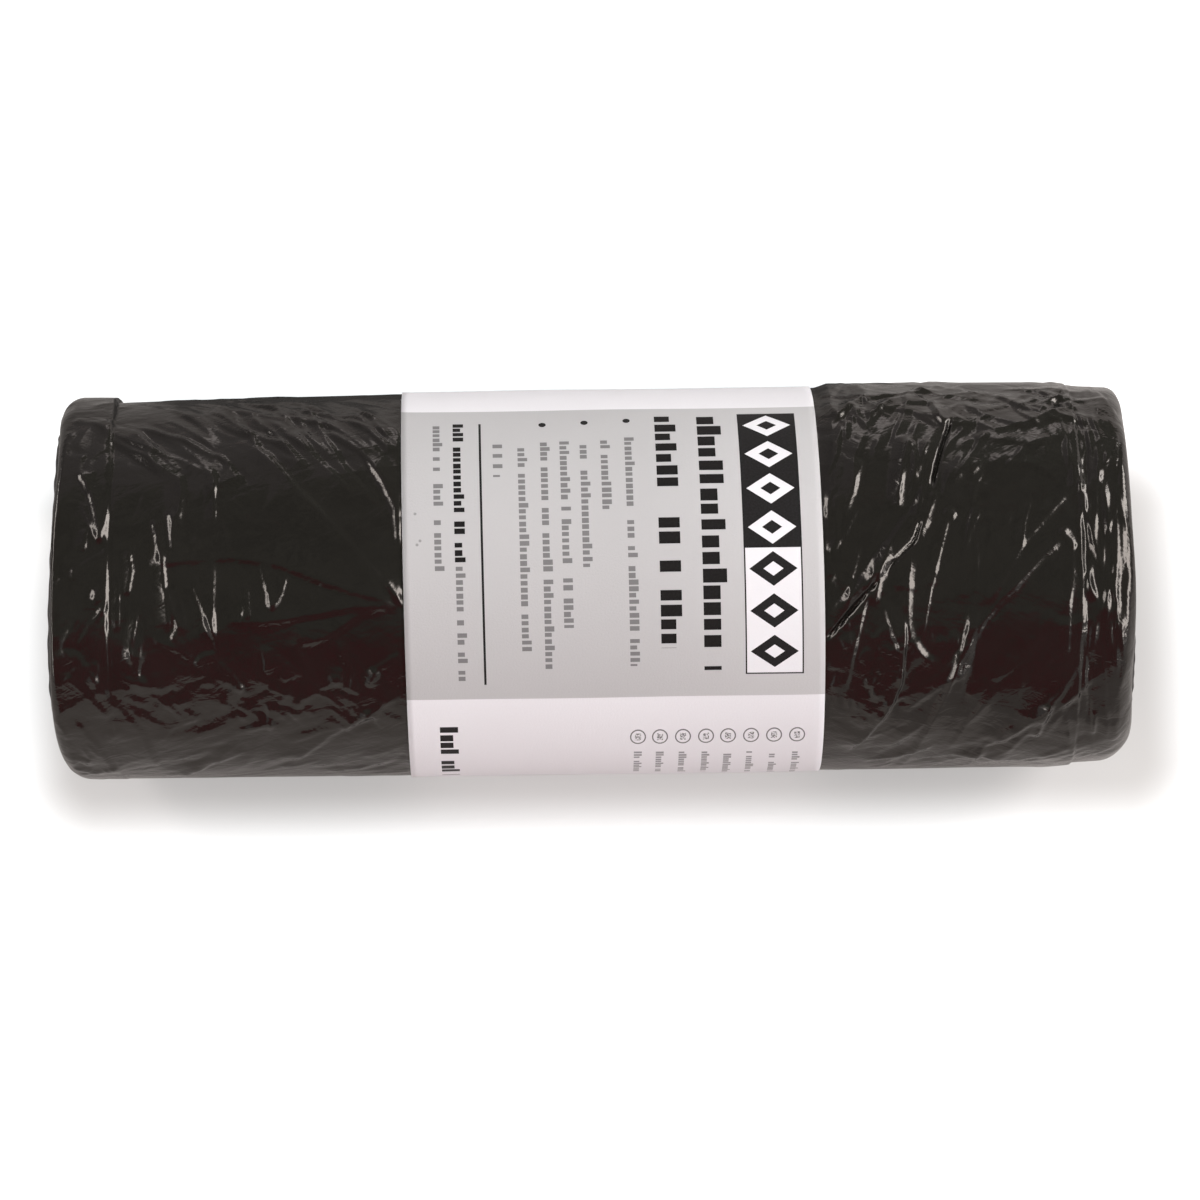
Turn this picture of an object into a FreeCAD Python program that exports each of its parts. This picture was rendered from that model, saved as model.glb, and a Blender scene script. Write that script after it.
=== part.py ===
import FreeCAD, Part
import math
import os
import Sketcher

# A coreless roll of thin film bin bags with a printed paper band round its middle.
# The roll lies on its side along X on a small flat spot, with the floor at Z = 0.
# The origin is on the floor under the middle of the roll. The camera side is -Y.
# Angles round the roll are counted from +Y over the top (+Z), as seen from +X.

# Driving dimensions, in millimetres and degrees
SIZES = {
    # the roll of bags
    "roll_length": 160.0,       # over both ends
    "film_diameter": 58.6,      # the film beside the paper band
    "left_drop": 0.6,           # how much lower the film lies next to the thick strip at the left end
    "right_drop": 0.1,          # how much lower it lies where the right shoulder starts
    "flat_width": 16.0,         # the flat spot that the soft roll lies on, across the roll
    "strip_width": 8.4,         # the thick folded strip at the left end, along the roll
    "strip_rise": 0.5,          # how far that strip stands above the film
    "strip_slope": 0.7,         # the axial length of the strip's edge
    "left_shoulder": 3.5,       # the radius of the left end's corner
    "left_facets": 2.0,         # flat steps that round it
    "right_shoulder": 5.5,      # the radius of the right end's corner
    "edge_count": 3.0,          # folded film edges stacked round the right shoulder
    "edge_rise": 0.35,          # how far each of those edges stands out
    "hole_width": 12.0,         # the collapsed winding hole, across its long way
    "hole_height": 4.0,         # and across its short way
    "hole_margin": 1.2,         # film left between the hole and the first groove
    "turn_pitch": 4.0,          # the spacing of the turns that show on each end
    "turn_gap": 0.5,            # the width of the groove between two turns
    "turn_depth": 1.3,          # the depth of that groove
    # folds in the film
    "fold_rise": 0.3,           # how far a fold stands above the film
    "fold_width": 0.7,          # the thickness of the doubled film in a fold
    "fold_root": 5.0,           # how deep a fold reaches into the turns below it
    "fold_scatter": 7.0,        # how unevenly the folds are spaced round the roll, in degrees
    "fold_sway": 13.0,          # how far their leans differ, in degrees
    "fold_shift": 7.0,          # how far their middles move along the roll
    "fold_stretch": 6.0,        # how far their lengths differ
    "left_folds": 11.0,         # folds round the film on the left
    "left_fold_length": 27.0,
    "left_lean": 47.0,          # the angle of the left folds to the roll's axis
    "right_folds": 10.0,        # folds round the film on the right
    "right_fold_length": 24.0,
    "right_lean": -63.0,        # the angle of the right folds to the roll's axis
    "flap_width": 11.0,         # the loose flap of the outermost bag, right of the band
    "flap_length": 36.0,
    "flap_lean": -58.0,
    "flap_rise": 0.25,
    "flap_angle": 118.0,        # where the flap's middle lies round the roll
    # the paper band
    "band_width": 62.0,         # along the roll
    "band_centre": 3.5,         # its middle, right of the roll's middle
    "band_rise": 0.1,           # how far the paper stands above the film beside it
    "paper": 0.12,              # the thickness of the paper
    "band_fit": 0.05,           # the play between the paper and the film
    "lap_length": 15.0,         # the glued overlap, round the roll
    "lap_ramp": 4.0,            # the stretch over which the outer layer comes down
    "lap_angle": 300.0,         # where the free edge of the paper lies round the roll
}

# Formulas that several pieces share, written for the sheet
FILM = "(Sizes.film_diameter / 2)"
LEFT_FILM = f"({FILM} - Sizes.left_drop)"
RIGHT_FILM = f"({FILM} - Sizes.right_drop)"
STRIP_RADIUS = f"({LEFT_FILM} + Sizes.strip_rise)"
PAPER_OUTER = f"({FILM} + Sizes.band_rise)"
PAPER_INNER = f"({PAPER_OUTER} - Sizes.paper)"
SEAT_RADIUS = f"({PAPER_INNER} - Sizes.band_fit)"
AXIS_HEIGHT = f"sqrt(pow({PAPER_OUTER}; 2) - pow(Sizes.flat_width / 2; 2))"
BAND_LEFT = "(Sizes.band_centre - Sizes.band_width / 2)"
BAND_RIGHT = "(Sizes.band_centre + Sizes.band_width / 2)"
LEFT_FACE = "(-Sizes.roll_length / 2)"
LEFT_RIM = f"({STRIP_RADIUS} - Sizes.left_shoulder)"
SEAT_LEFT = f"({BAND_LEFT} - Sizes.band_fit)"
SEAT_RIGHT = f"({BAND_RIGHT} + Sizes.band_fit)"
HALF_EDGE = "(45deg / floor(Sizes.edge_count + 0.5))"
EDGE_REACH = f"((Sizes.right_shoulder + Sizes.edge_rise) * cos({HALF_EDGE}))"
SHOULDER_START = f"(Sizes.roll_length / 2 - {EDGE_REACH})"
RIGHT_FACE = f"({SHOULDER_START} + Sizes.right_shoulder)"
RIGHT_RIM = f"({RIGHT_FILM} - Sizes.right_shoulder)"
STRIP_END = f"({LEFT_FACE} + Sizes.strip_width)"

X_AXIS = FreeCAD.Vector(1, 0, 0)
Y_AXIS = FreeCAD.Vector(0, 1, 0)
Z_AXIS = FreeCAD.Vector(0, 0, 1)
ALONG_X = FreeCAD.Rotation(Y_AXIS, 90)


def make_sheet(doc):
    """Puts every driving dimension in a spreadsheet cell of its own, with its name as the alias."""
    sheet = doc.addObject("Spreadsheet::Sheet", "Sizes")
    for row, (name, size) in enumerate(SIZES.items(), start=1):
        sheet.set(f"A{row}", name)
        sheet.set(f"B{row}", str(size))
        sheet.setAlias(f"B{row}", name)
    doc.recompute()
    return sheet


def value(doc, formula):
    """The number that a formula on the sheet gives."""
    return float(doc.Sizes.evalExpression(formula))


def whole(doc, name):
    """A count on the sheet as a whole number."""
    return int(value(doc, f"floor(Sizes.{name} + 0.5)"))


def bind(piece, **formulas):
    """Ties properties of an object to formulas. A double underscore stands for a dot."""
    for name, formula in formulas.items():
        piece.setExpression(name.replace("__", "."), formula)
    return piece


def plane_of(body, role):
    """One of a body's own origin planes."""
    return next(f for f in body.Origin.OriginFeatures if f.Role == role)


def make_sketch(body, name, role, **offsets):
    """A sketch on an origin plane of its body, moved by formulas for its attachment offset."""
    sketch = body.newObject("Sketcher::SketchObject", name)
    sketch.AttachmentSupport = [(plane_of(body, role), "")]
    sketch.MapMode = "FlatFace"
    for axis, formula in offsets.items():
        sketch.setExpression(f"AttachmentOffset.Base.{axis}", formula)
    return sketch


def arc_between(start, end, radius, turn, large):
    """The arc from start to end, with its end numbers. turn is 1 anticlockwise and -1 clockwise."""
    chord = end - start
    across = FreeCAD.Vector(-chord.y, chord.x, 0).normalize()
    reach = math.sqrt(max(radius**2 - chord.Length**2 / 4, 0.0))
    side = -turn if large else turn
    centre = (start + end) * 0.5 + across * (reach * side)
    circle = Part.Circle(centre, Z_AXIS, radius)
    first, last = (start, end) if turn > 0 else (end, start)
    angles = [math.atan2(p.y - centre.y, p.x - centre.x) for p in (first, last)]
    if angles[1] < angles[0]:
        angles[1] += 2 * math.pi
    return Part.ArcOfCircle(circle, *angles), ((1, 2) if turn > 0 else (2, 1))


def draw_outline(doc, sketch, corners, arcs=None):
    """Draws a closed outline through named corners and ties each coordinate to its formula.

    corners maps a name to its two formulas. arcs maps the name of the corner where an arc
    starts to the arc's radius formula, its turn and whether it is the larger arc.
    """
    arcs = arcs or {}
    names = list(corners)
    points = {n: FreeCAD.Vector(value(doc, x), value(doc, y), 0) for n, (x, y) in corners.items()}
    ends = {}
    for name, following in zip(names, names[1:] + names[:1]):
        if name in arcs:
            radius, turn, large = arcs[name]
            edge, numbers = arc_between(points[name], points[following], value(doc, radius), turn, large)
        else:
            edge, numbers = Part.LineSegment(points[name], points[following]), (1, 2)
        ends[name] = (sketch.addGeometry(edge), *numbers)
    for name, following in zip(names, names[1:] + names[:1]):
        edge, first, last = ends[name]
        next_edge, next_first, _ = ends[following]
        sketch.addConstraint(Sketcher.Constraint("Coincident", edge, last, next_edge, next_first))
        tie_corner(sketch, name, edge, first, points[name], corners[name])
        if name in arcs:
            number = sketch.addConstraint(Sketcher.Constraint("Radius", edge, value(doc, arcs[name][0])))
            tie(sketch, number, f"{name}_radius", arcs[name][0])
    doc.recompute()


def tie_corner(sketch, name, edge, end, point, formulas):
    """Holds one corner: on an axis where its formula is 0, else at its distance from the origin."""
    for kind, axis, place, formula in (
        ("DistanceX", -2, point.x, formulas[0]),
        ("DistanceY", -1, point.y, formulas[1]),
    ):
        if formula == "0":
            sketch.addConstraint(Sketcher.Constraint("PointOnObject", edge, end, axis))
        else:
            number = sketch.addConstraint(Sketcher.Constraint(kind, -1, 1, edge, end, place))
            tie(sketch, number, f"{name}_{kind[-1].lower()}", formula)


def tie(sketch, number, name, formula):
    """Names a constraint and ties it to its formula."""
    sketch.renameConstraint(number, name)
    sketch.setExpression(f"Constraints.{name}", formula)


def polar(radius, angle):
    """The two formulas of a corner at a radius and an angle round the roll."""
    return f"({radius}) * cos({angle} * 1deg)", f"({radius}) * sin({angle} * 1deg)"


def rounding(centre, rim, radius, angle):
    """A corner on an end's round shoulder. The angle runs from the film (0) to the end's face (90)."""
    return f"{centre} + ({radius}) * sin({angle})", f"{rim} + ({radius}) * cos({angle})"


def long_section(doc):
    """Half of the roll's section along its axis: corner name to distance along and out from the axis."""
    corners = {"axis_left": (LEFT_FACE, "0")}
    facets = whole(doc, "left_facets")
    for number in range(facets + 1):
        angle = f"90deg * {number - facets} / {facets}"
        centre = f"{LEFT_FACE} + Sizes.left_shoulder"
        corners[f"left_facet_{number}"] = rounding(centre, LEFT_RIM, "Sizes.left_shoulder", angle)
    corners |= {
        "strip_edge": (STRIP_END, STRIP_RADIUS),
        "strip_foot": (f"{STRIP_END} + Sizes.strip_slope", LEFT_FILM),
        "film_left": (SEAT_LEFT, FILM),
        "seat_left": (SEAT_LEFT, SEAT_RADIUS),
        "seat_right": (SEAT_RIGHT, SEAT_RADIUS),
        "film_right": (SEAT_RIGHT, FILM),
    }
    edges = whole(doc, "edge_count")
    for number in range(2 * edges + 1):
        angle = f"45deg * {number} / {edges}"
        radius = "Sizes.right_shoulder" + (" + Sizes.edge_rise" if number % 2 else "")
        corners[f"edge_{number}"] = rounding(SHOULDER_START, RIGHT_RIM, radius, angle)
    corners["axis_right"] = (RIGHT_FACE, "0")
    return corners


def make_core(doc):
    """The wound bags as one body: the long section turned round the axis, less the winding hole."""
    body = doc.addObject("PartDesign::Body", "roll_core")
    profile = make_sketch(body, "long_section", "XZ_Plane", y=AXIS_HEIGHT)
    draw_outline(doc, profile, long_section(doc))
    turned = body.newObject("PartDesign::Revolution", "wound_bags")
    turned.Profile = profile
    turned.ReferenceAxis = (profile, ["H_Axis"])
    turned.Angle = 360.0
    doc.recompute()

    hole = make_sketch(body, "hole_section", "YZ_Plane", y=AXIS_HEIGHT)
    lens = "(pow(Sizes.hole_width; 2) + pow(Sizes.hole_height; 2)) / (4 * Sizes.hole_height)"
    corners = {"back": ("Sizes.hole_width / 2", "0"), "front": ("-Sizes.hole_width / 2", "0")}
    draw_outline(doc, hole, corners, {"back": (lens, 1, False), "front": (lens, 1, False)})
    pocket = body.newObject("PartDesign::Pocket", "winding_hole")
    pocket.Profile = hole
    pocket.Type = "ThroughAll"
    pocket.Midplane = True
    doc.recompute()
    body.Tip = pocket
    return body


def make_fold(doc, name, place, width, length, spin, lean):
    """A thin upright slab across the film's surface: the part of it inside the film's skin is a fold.

    place is the slab's middle along the roll, spin its angle round the roll and lean its
    angle to the roll's axis.
    """
    slab = doc.addObject("Part::Box", name)
    bind(slab, Length=length, Width=width, Height="2 * Sizes.fold_root")
    centre = FreeCAD.Vector(value(doc, length) / 2, value(doc, width) / 2, value(doc, "Sizes.fold_root"))
    out = FreeCAD.Vector(0, math.cos(math.radians(spin)), math.sin(math.radians(spin)))
    turn = FreeCAD.Rotation(X_AXIS, spin - 90) * FreeCAD.Rotation(Z_AXIS, lean)
    middle = X_AXIS * place + Z_AXIS * value(doc, AXIS_HEIGHT) + out * value(doc, FILM)
    slab.Placement = FreeCAD.Placement(middle - turn.multVec(centre), turn)
    return slab


def uneven(number, offset):
    """A number between -1 and 1 for each fold, which doesn't repeat: the sine of 2.4 radians a fold."""
    return math.sin(2.4 * number + offset)


def fold_ring(doc, side, start, end):
    """The folds round one stretch of film, unevenly spaced, placed, turned and long."""
    count = whole(doc, f"{side}_folds")
    scatter, sway, shift = (value(doc, f"Sizes.fold_{size}") for size in ("scatter", "sway", "shift"))
    lean = value(doc, f"Sizes.{side}_lean")
    slabs = []
    for number in range(count):
        length = f"Sizes.{side}_fold_length + {uneven(number, 3.0):.3f} * Sizes.fold_stretch"
        place = (start + end) / 2 + shift * uneven(number, 1.0)
        spin = 360.0 * number / count + scatter * uneven(number, 0.0)
        turn = lean + sway * uneven(number, 2.0)
        name = f"{side}_fold_{number + 1}"
        slabs.append(make_fold(doc, name, place, "Sizes.fold_width", length, spin, turn))
    return slabs


def skin(doc, name, start, end, first, last, rise):
    """The film's outer skin over one stretch, raised by rise: folds are cut to it."""
    cone = doc.addObject("Part::Cone", name)
    bind(
        cone,
        Radius1=f"{first} + {rise}",
        Radius2=f"{last} + {rise}",
        Height=f"{end} - {start}",
        Placement__Base__x=start,
        Placement__Base__z=AXIS_HEIGHT,
    )
    cone.Placement.Rotation = ALONG_X
    return cone


def trimmed(doc, name, slabs, cone):
    """Slabs cut to the film's skin."""
    joined = slabs[0]
    if len(slabs) > 1:
        joined = doc.addObject("Part::MultiFuse", f"{name}_slabs")
        joined.Shapes = slabs
    common = doc.addObject("Part::MultiCommon", name)
    common.Shapes = [joined, cone]
    return common


def make_folds(doc):
    """The folds on both sides of the band and the loose flap of the outermost bag."""
    left = skin(doc, "left_skin", STRIP_END, SEAT_LEFT, LEFT_FILM, FILM, "Sizes.fold_rise")
    right = skin(doc, "right_skin", SEAT_RIGHT, SHOULDER_START, FILM, RIGHT_FILM, "Sizes.fold_rise")
    flap_skin = skin(doc, "flap_skin", SEAT_RIGHT, SHOULDER_START, FILM, RIGHT_FILM, "Sizes.flap_rise")
    strip_end, band_left = value(doc, STRIP_END), value(doc, BAND_LEFT)
    band_right, shoulder = value(doc, BAND_RIGHT), value(doc, SHOULDER_START)
    flap = make_fold(
        doc, "flap_slab", (band_right + shoulder) / 2, "Sizes.flap_width", "Sizes.flap_length",
        value(doc, "Sizes.flap_angle"), value(doc, "Sizes.flap_lean"),
    )
    return [
        trimmed(doc, "left_folds", fold_ring(doc, "left", strip_end, band_left), left),
        trimmed(doc, "right_folds", fold_ring(doc, "right", band_right, shoulder), right),
        trimmed(doc, "loose_flap", [flap], flap_skin),
    ]


def spiral_edges(start_radius, pitch, turns):
    """A spiral of half circles round the origin in the YZ plane, each half a pitch wider than the last."""
    edges = []
    for half in range(2 * turns):
        radius = start_radius + half * pitch / 2
        centre = FreeCAD.Vector(0, (half % 2) * pitch / 2, 0)
        rise = 1 if half % 2 == 0 else -1
        points = [
            centre + Y_AXIS * (radius * rise),
            centre + Z_AXIS * (radius * rise),
            centre - Y_AXIS * (radius * rise),
        ]
        edges.append(Part.Arc(*points).toShape())
    return edges


def make_turns(doc, name, face_place, rim):
    """The spiral groove between the turns, cut into one end of the roll as far out as its rim allows."""
    pitch, gap, depth = (value(doc, f"Sizes.turn_{size}") for size in ("pitch", "gap", "depth"))
    first = value(doc, "Sizes.hole_width / 2 + Sizes.hole_margin")
    turns = max(1, int((value(doc, rim) - first - gap) // pitch))
    last = first + turns * pitch
    sides = spiral_edges(first, pitch, turns) + spiral_edges(first + gap, pitch, turns)
    caps = [Part.makeLine(Y_AXIS * r, Y_AXIS * (r + gap)) for r in (first, last)]
    face = Part.Face(Part.Wire(Part.__sortEdges__(sides + caps)))
    groove = doc.addObject("Part::Feature", name)
    groove.Shape = face.extrude(X_AXIS * (2 * depth))
    groove.Placement = FreeCAD.Placement(
        FreeCAD.Vector(value(doc, face_place) - depth, 0, value(doc, AXIS_HEIGHT)), FreeCAD.Rotation()
    )
    return groove


def make_floor(doc, name, start, end, level):
    """Everything below a level, under one stretch of the roll."""
    box = doc.addObject("Part::Box", name)
    return bind(
        box,
        Length=f"{end} - {start}",
        Width="2 * Sizes.film_diameter",
        Height="Sizes.film_diameter",
        Placement__Base__x=start,
        Placement__Base__y="-Sizes.film_diameter",
        Placement__Base__z=f"{level} - Sizes.film_diameter",
    )


def make_bag_roll(doc):
    """The whole roll as one solid: the wound bags and their folds, less the flat spot and the grooves."""
    grown = doc.addObject("Part::MultiFuse", "roll_with_folds")
    grown.Shapes = [make_core(doc), *make_folds(doc)]
    cuts = doc.addObject("Part::MultiFuse", "roll_cuts")
    cuts.Shapes = [
        make_floor(doc, "floor", LEFT_FACE, "Sizes.roll_length / 2", "0"),
        make_floor(doc, "seat_floor", SEAT_LEFT, SEAT_RIGHT, "(Sizes.paper + Sizes.band_fit)"),
        make_turns(doc, "left_turns", LEFT_FACE, LEFT_RIM),
        make_turns(doc, "right_turns", RIGHT_FACE, RIGHT_RIM),
    ]
    roll = doc.addObject("Part::Cut", "bag_roll")
    roll.Base, roll.Tool = grown, cuts
    roll.Refine = True
    return roll


def make_paper_band(doc):
    """The paper strip: a ring pressed flat where it lies, and the glued overlap on its outside."""
    body = doc.addObject("PartDesign::Body", "paper_band")
    inner_chord = f"sqrt(pow({PAPER_INNER}; 2) - pow({AXIS_HEIGHT} - Sizes.paper; 2))"
    places = {"y": AXIS_HEIGHT, "z": "Sizes.band_centre"}
    ring = make_sketch(body, "ring_section", "YZ_Plane", **places)
    draw_outline(
        doc, ring,
        {
            "outer_back": ("Sizes.flat_width / 2", f"-{AXIS_HEIGHT}"),
            "outer_front": ("-Sizes.flat_width / 2", f"-{AXIS_HEIGHT}"),
        },
        {"outer_back": (PAPER_OUTER, 1, True)},
    )
    draw_outline(
        doc, ring,
        {
            "inner_back": (inner_chord, f"Sizes.paper - {AXIS_HEIGHT}"),
            "inner_front": (f"-{inner_chord}", f"Sizes.paper - {AXIS_HEIGHT}"),
        },
        {"inner_back": (PAPER_INNER, 1, True)},
    )
    add_pad(doc, body, "ring", ring)

    free = "Sizes.lap_angle"
    covered = f"({free} + Sizes.lap_length / {PAPER_OUTER} * 180 / pi)"
    landed = f"({free} + (Sizes.lap_length + Sizes.lap_ramp) / {PAPER_OUTER} * 180 / pi)"
    top = f"({PAPER_OUTER} + Sizes.paper)"
    lap = make_sketch(body, "lap_section", "YZ_Plane", **places)
    draw_outline(
        doc, lap,
        {
            "free_foot": polar(PAPER_OUTER, free),
            "free_edge": polar(top, free),
            "covered": polar(top, covered),
            "landed": polar(PAPER_OUTER, landed),
        },
        {
            "free_edge": (top, 1, False),
            "covered": (PAPER_OUTER, 1, False),
            "landed": (PAPER_OUTER, -1, False),
        },
    )
    body.Tip = add_pad(doc, body, "glued_lap", lap)
    return body


def add_pad(doc, body, name, sketch):
    """Pads a section of the band over the band's width, half to each side."""
    pad = body.newObject("PartDesign::Pad", name)
    pad.Profile = sketch
    pad.Midplane = True
    bind(pad, Length="Sizes.band_width")
    doc.recompute()
    return pad


def check(doc, pieces):
    """Stops if an object has failed or a piece isn't one sound solid."""
    for item in doc.Objects:
        if {"Invalid", "Error"} & set(item.State):
            raise RuntimeError(f"{item.Name} failed: {item.State}")
    for piece in pieces:
        shape = piece.Shape
        if shape.isNull() or not shape.isValid() or len(shape.Solids) != 1:
            raise RuntimeError(f"{piece.Label} isn't one sound solid")


def main():
    doc = FreeCAD.newDocument("bin_bag_roll")
    make_sheet(doc)
    pieces = [make_bag_roll(doc), make_paper_band(doc)]
    doc.recompute()
    check(doc, pieces)
    os.makedirs("parts", exist_ok=True)
    for piece in pieces:
        piece.Shape.exportStep(f"parts/{piece.Label}.step")
        print(f"{piece.Label}: {piece.Shape.Volume:.1f} mm3, {len(piece.Shape.Faces)} faces")


main()
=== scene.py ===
"""Bin bag roll: creased film walls, wound ends and a printed paper band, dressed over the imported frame."""
import math

import bpy
import numpy as np
from bpy.props import FloatProperty, FloatVectorProperty, IntProperty, PointerProperty
from mathutils import Matrix, Vector


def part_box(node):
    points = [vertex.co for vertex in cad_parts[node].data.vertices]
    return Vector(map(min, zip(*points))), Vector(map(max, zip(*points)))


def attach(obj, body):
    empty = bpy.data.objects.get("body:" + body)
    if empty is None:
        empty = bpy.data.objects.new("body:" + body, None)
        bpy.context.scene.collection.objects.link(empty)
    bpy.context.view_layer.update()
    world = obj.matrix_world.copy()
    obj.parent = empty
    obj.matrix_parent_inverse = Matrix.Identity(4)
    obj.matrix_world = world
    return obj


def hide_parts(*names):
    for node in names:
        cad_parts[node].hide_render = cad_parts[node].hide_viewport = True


bl_info = {
    "name": "Bin bag roll",
    "version": (1, 0, 0),
    "blender": (4, 5, 0),
    "location": "View3D > Sidebar > Bag roll",
    "description": "Builds the film walls, the wound ends, the paper band and the studio of a bin bag roll",
    "category": "Object",
}

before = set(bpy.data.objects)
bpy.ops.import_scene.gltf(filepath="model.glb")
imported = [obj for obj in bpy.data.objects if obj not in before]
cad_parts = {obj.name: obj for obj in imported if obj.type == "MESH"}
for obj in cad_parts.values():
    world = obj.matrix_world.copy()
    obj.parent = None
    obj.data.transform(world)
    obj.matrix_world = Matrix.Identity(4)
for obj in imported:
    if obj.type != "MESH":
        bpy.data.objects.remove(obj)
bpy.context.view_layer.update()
ROLL_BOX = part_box("bag_roll")
BAND_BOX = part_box("paper_band")

MM = 0.001
HALF_LENGTH = ROLL_BOX[1].x / MM
BAND_EDGES = (BAND_BOX[0].x / MM, BAND_BOX[1].x / MM)
BAND_MIDDLE = sum(BAND_EDGES) / 2
BAND_RADIUS = (BAND_BOX[1].y - BAND_BOX[0].y) / 2 / MM
AXIS_HEIGHT = BAND_BOX[1].z / MM - BAND_RADIUS

# The photograph's view: its width, where the middle of the roll shows and the lens, in pixels, then the
# camera's distance from the roll's axis in millimetres and its angles.
IMAGE = 1200
ROLL_SHOWS_AT = (590.0, 582.0)
LENS_PIXELS = 5195.0
VIEW_DISTANCE = 794.0
VIEW_ELEVATION = math.radians(70)
VIEW_ROLL = math.radians(0.9)
SENSOR_WIDTH = 36.0

# The grids: points round the roll and rows. The walls' last rows turn the corner.
ANGLE_SAMPLES = 2881
WALL_GRID = (410, 240)
CORNER_ROWS = 22
END_ROWS = 190
BAND_GRID = (480, 63)


# Shapes that every piece uses

def smooth(value):
    """The cubic 3v^2 - 2v^3 between 0 and 1, held at its ends outside them."""
    v = np.clip(value, 0.0, 1.0)
    return v * v * (3.0 - 2.0 * v)


def around(count, fine=1.0, coarse=0.42):
    """Angles round the roll from its contact line on, closer together on the camera's side."""
    start = -math.pi / 2 - VIEW_ELEVATION
    turn = np.linspace(start, start + 2 * math.pi, ANGLE_SAMPLES)
    seen = smooth((np.cos(turn) + 0.35) / 0.3)
    density = coarse + (fine - coarse) * seen
    travel = np.concatenate([[0.0], np.cumsum((density[1:] + density[:-1]) / 2)])
    return np.interp(np.linspace(0.0, travel[-1], count, endpoint=False), travel, turn)


def placed(x, radius, theta):
    """Points in millimetres from the place along the axis, the radius and the angle from the view line.

    Outward is (-cos a, sin a) in y and z, where a is the view's elevation plus the angle."""
    a = VIEW_ELEVATION + theta
    y, z = -radius * np.cos(a), AXIS_HEIGHT + radius * np.sin(a)
    return np.stack(np.broadcast_arrays(x, y, z), axis=-1)


def seen_at(pixel, radius):
    """Where the line of sight through a pixel meets a cylinder round the axis: x in mm, and the angle.

    With v the pixel's height over the axis, it solves v (D - R cos t) = f R sin t for the angle t."""
    u = pixel[0] - ROLL_SHOWS_AT[0]
    v = ROLL_SHOWS_AT[1] - pixel[1]
    along = u * math.cos(VIEW_ROLL) + v * math.sin(VIEW_ROLL)
    over = -u * math.sin(VIEW_ROLL) + v * math.cos(VIEW_ROLL)
    reach = over * VIEW_DISTANCE / (radius * math.hypot(LENS_PIXELS, over))
    theta = math.asin(max(-1.0, min(1.0, reach))) - math.atan2(over, LENS_PIXELS)
    return along * (VIEW_DISTANCE - radius * math.cos(theta)) / LENS_PIXELS, theta


def grid_mesh(name, points, material, flip):
    """A mesh from a grid of points in millimetres, rows by columns, whose last column joins the first."""
    rows, columns = points.shape[:2]
    index = np.arange(rows * columns).reshape(rows, columns)
    beside = np.roll(index, -1, axis=1)
    quads = np.stack([index[:-1], index[1:], beside[1:], beside[:-1]], axis=-1).reshape(-1, 4)
    if flip:
        quads = quads[:, ::-1]
    return finish_mesh(name, points.reshape(-1, 3), quads, material)


def finish_mesh(name, vertices, quads, material, uv=None):
    """The mesh object of vertices in millimetres and their quads, smooth, riding on the roll's body.

    A UV map, where one is given, holds each vertex's place on the flat paper, also in metres."""
    mesh = bpy.data.meshes.new(name)
    mesh.vertices.add(len(vertices))
    mesh.vertices.foreach_set("co", (vertices * MM).astype(np.float32).ravel())
    mesh.loops.add(quads.size)
    mesh.loops.foreach_set("vertex_index", quads.astype(np.int32).ravel())
    mesh.polygons.add(len(quads))
    mesh.polygons.foreach_set("loop_start", np.arange(0, quads.size, 4, dtype=np.int32))
    mesh.polygons.foreach_set("use_smooth", np.ones(len(quads), dtype=bool))
    if uv is not None:
        layer = mesh.uv_layers.new(name="paper_mm")
        layer.data.foreach_set("uv", (uv[quads.ravel()] * MM).astype(np.float32).ravel())
    mesh.update(calc_edges=True)
    mesh.validate()
    mesh.materials.append(material)
    piece = bpy.data.objects.new(name, mesh)
    bpy.context.scene.collection.objects.link(piece)
    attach(piece, "root")
    return piece


# The film's creases, in millimetres along the axis and round the roll

FILM_RADIUS = BAND_RADIUS - 0.15
GIRTH = 2.0 * math.pi * FILM_RADIUS
# The shares of their length over which creases fade at each end, and the power of their flanks.
NAMED_FADE = 0.15
RANDOM_FADE = 0.3
FLANK_POWER = 1.25


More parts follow.
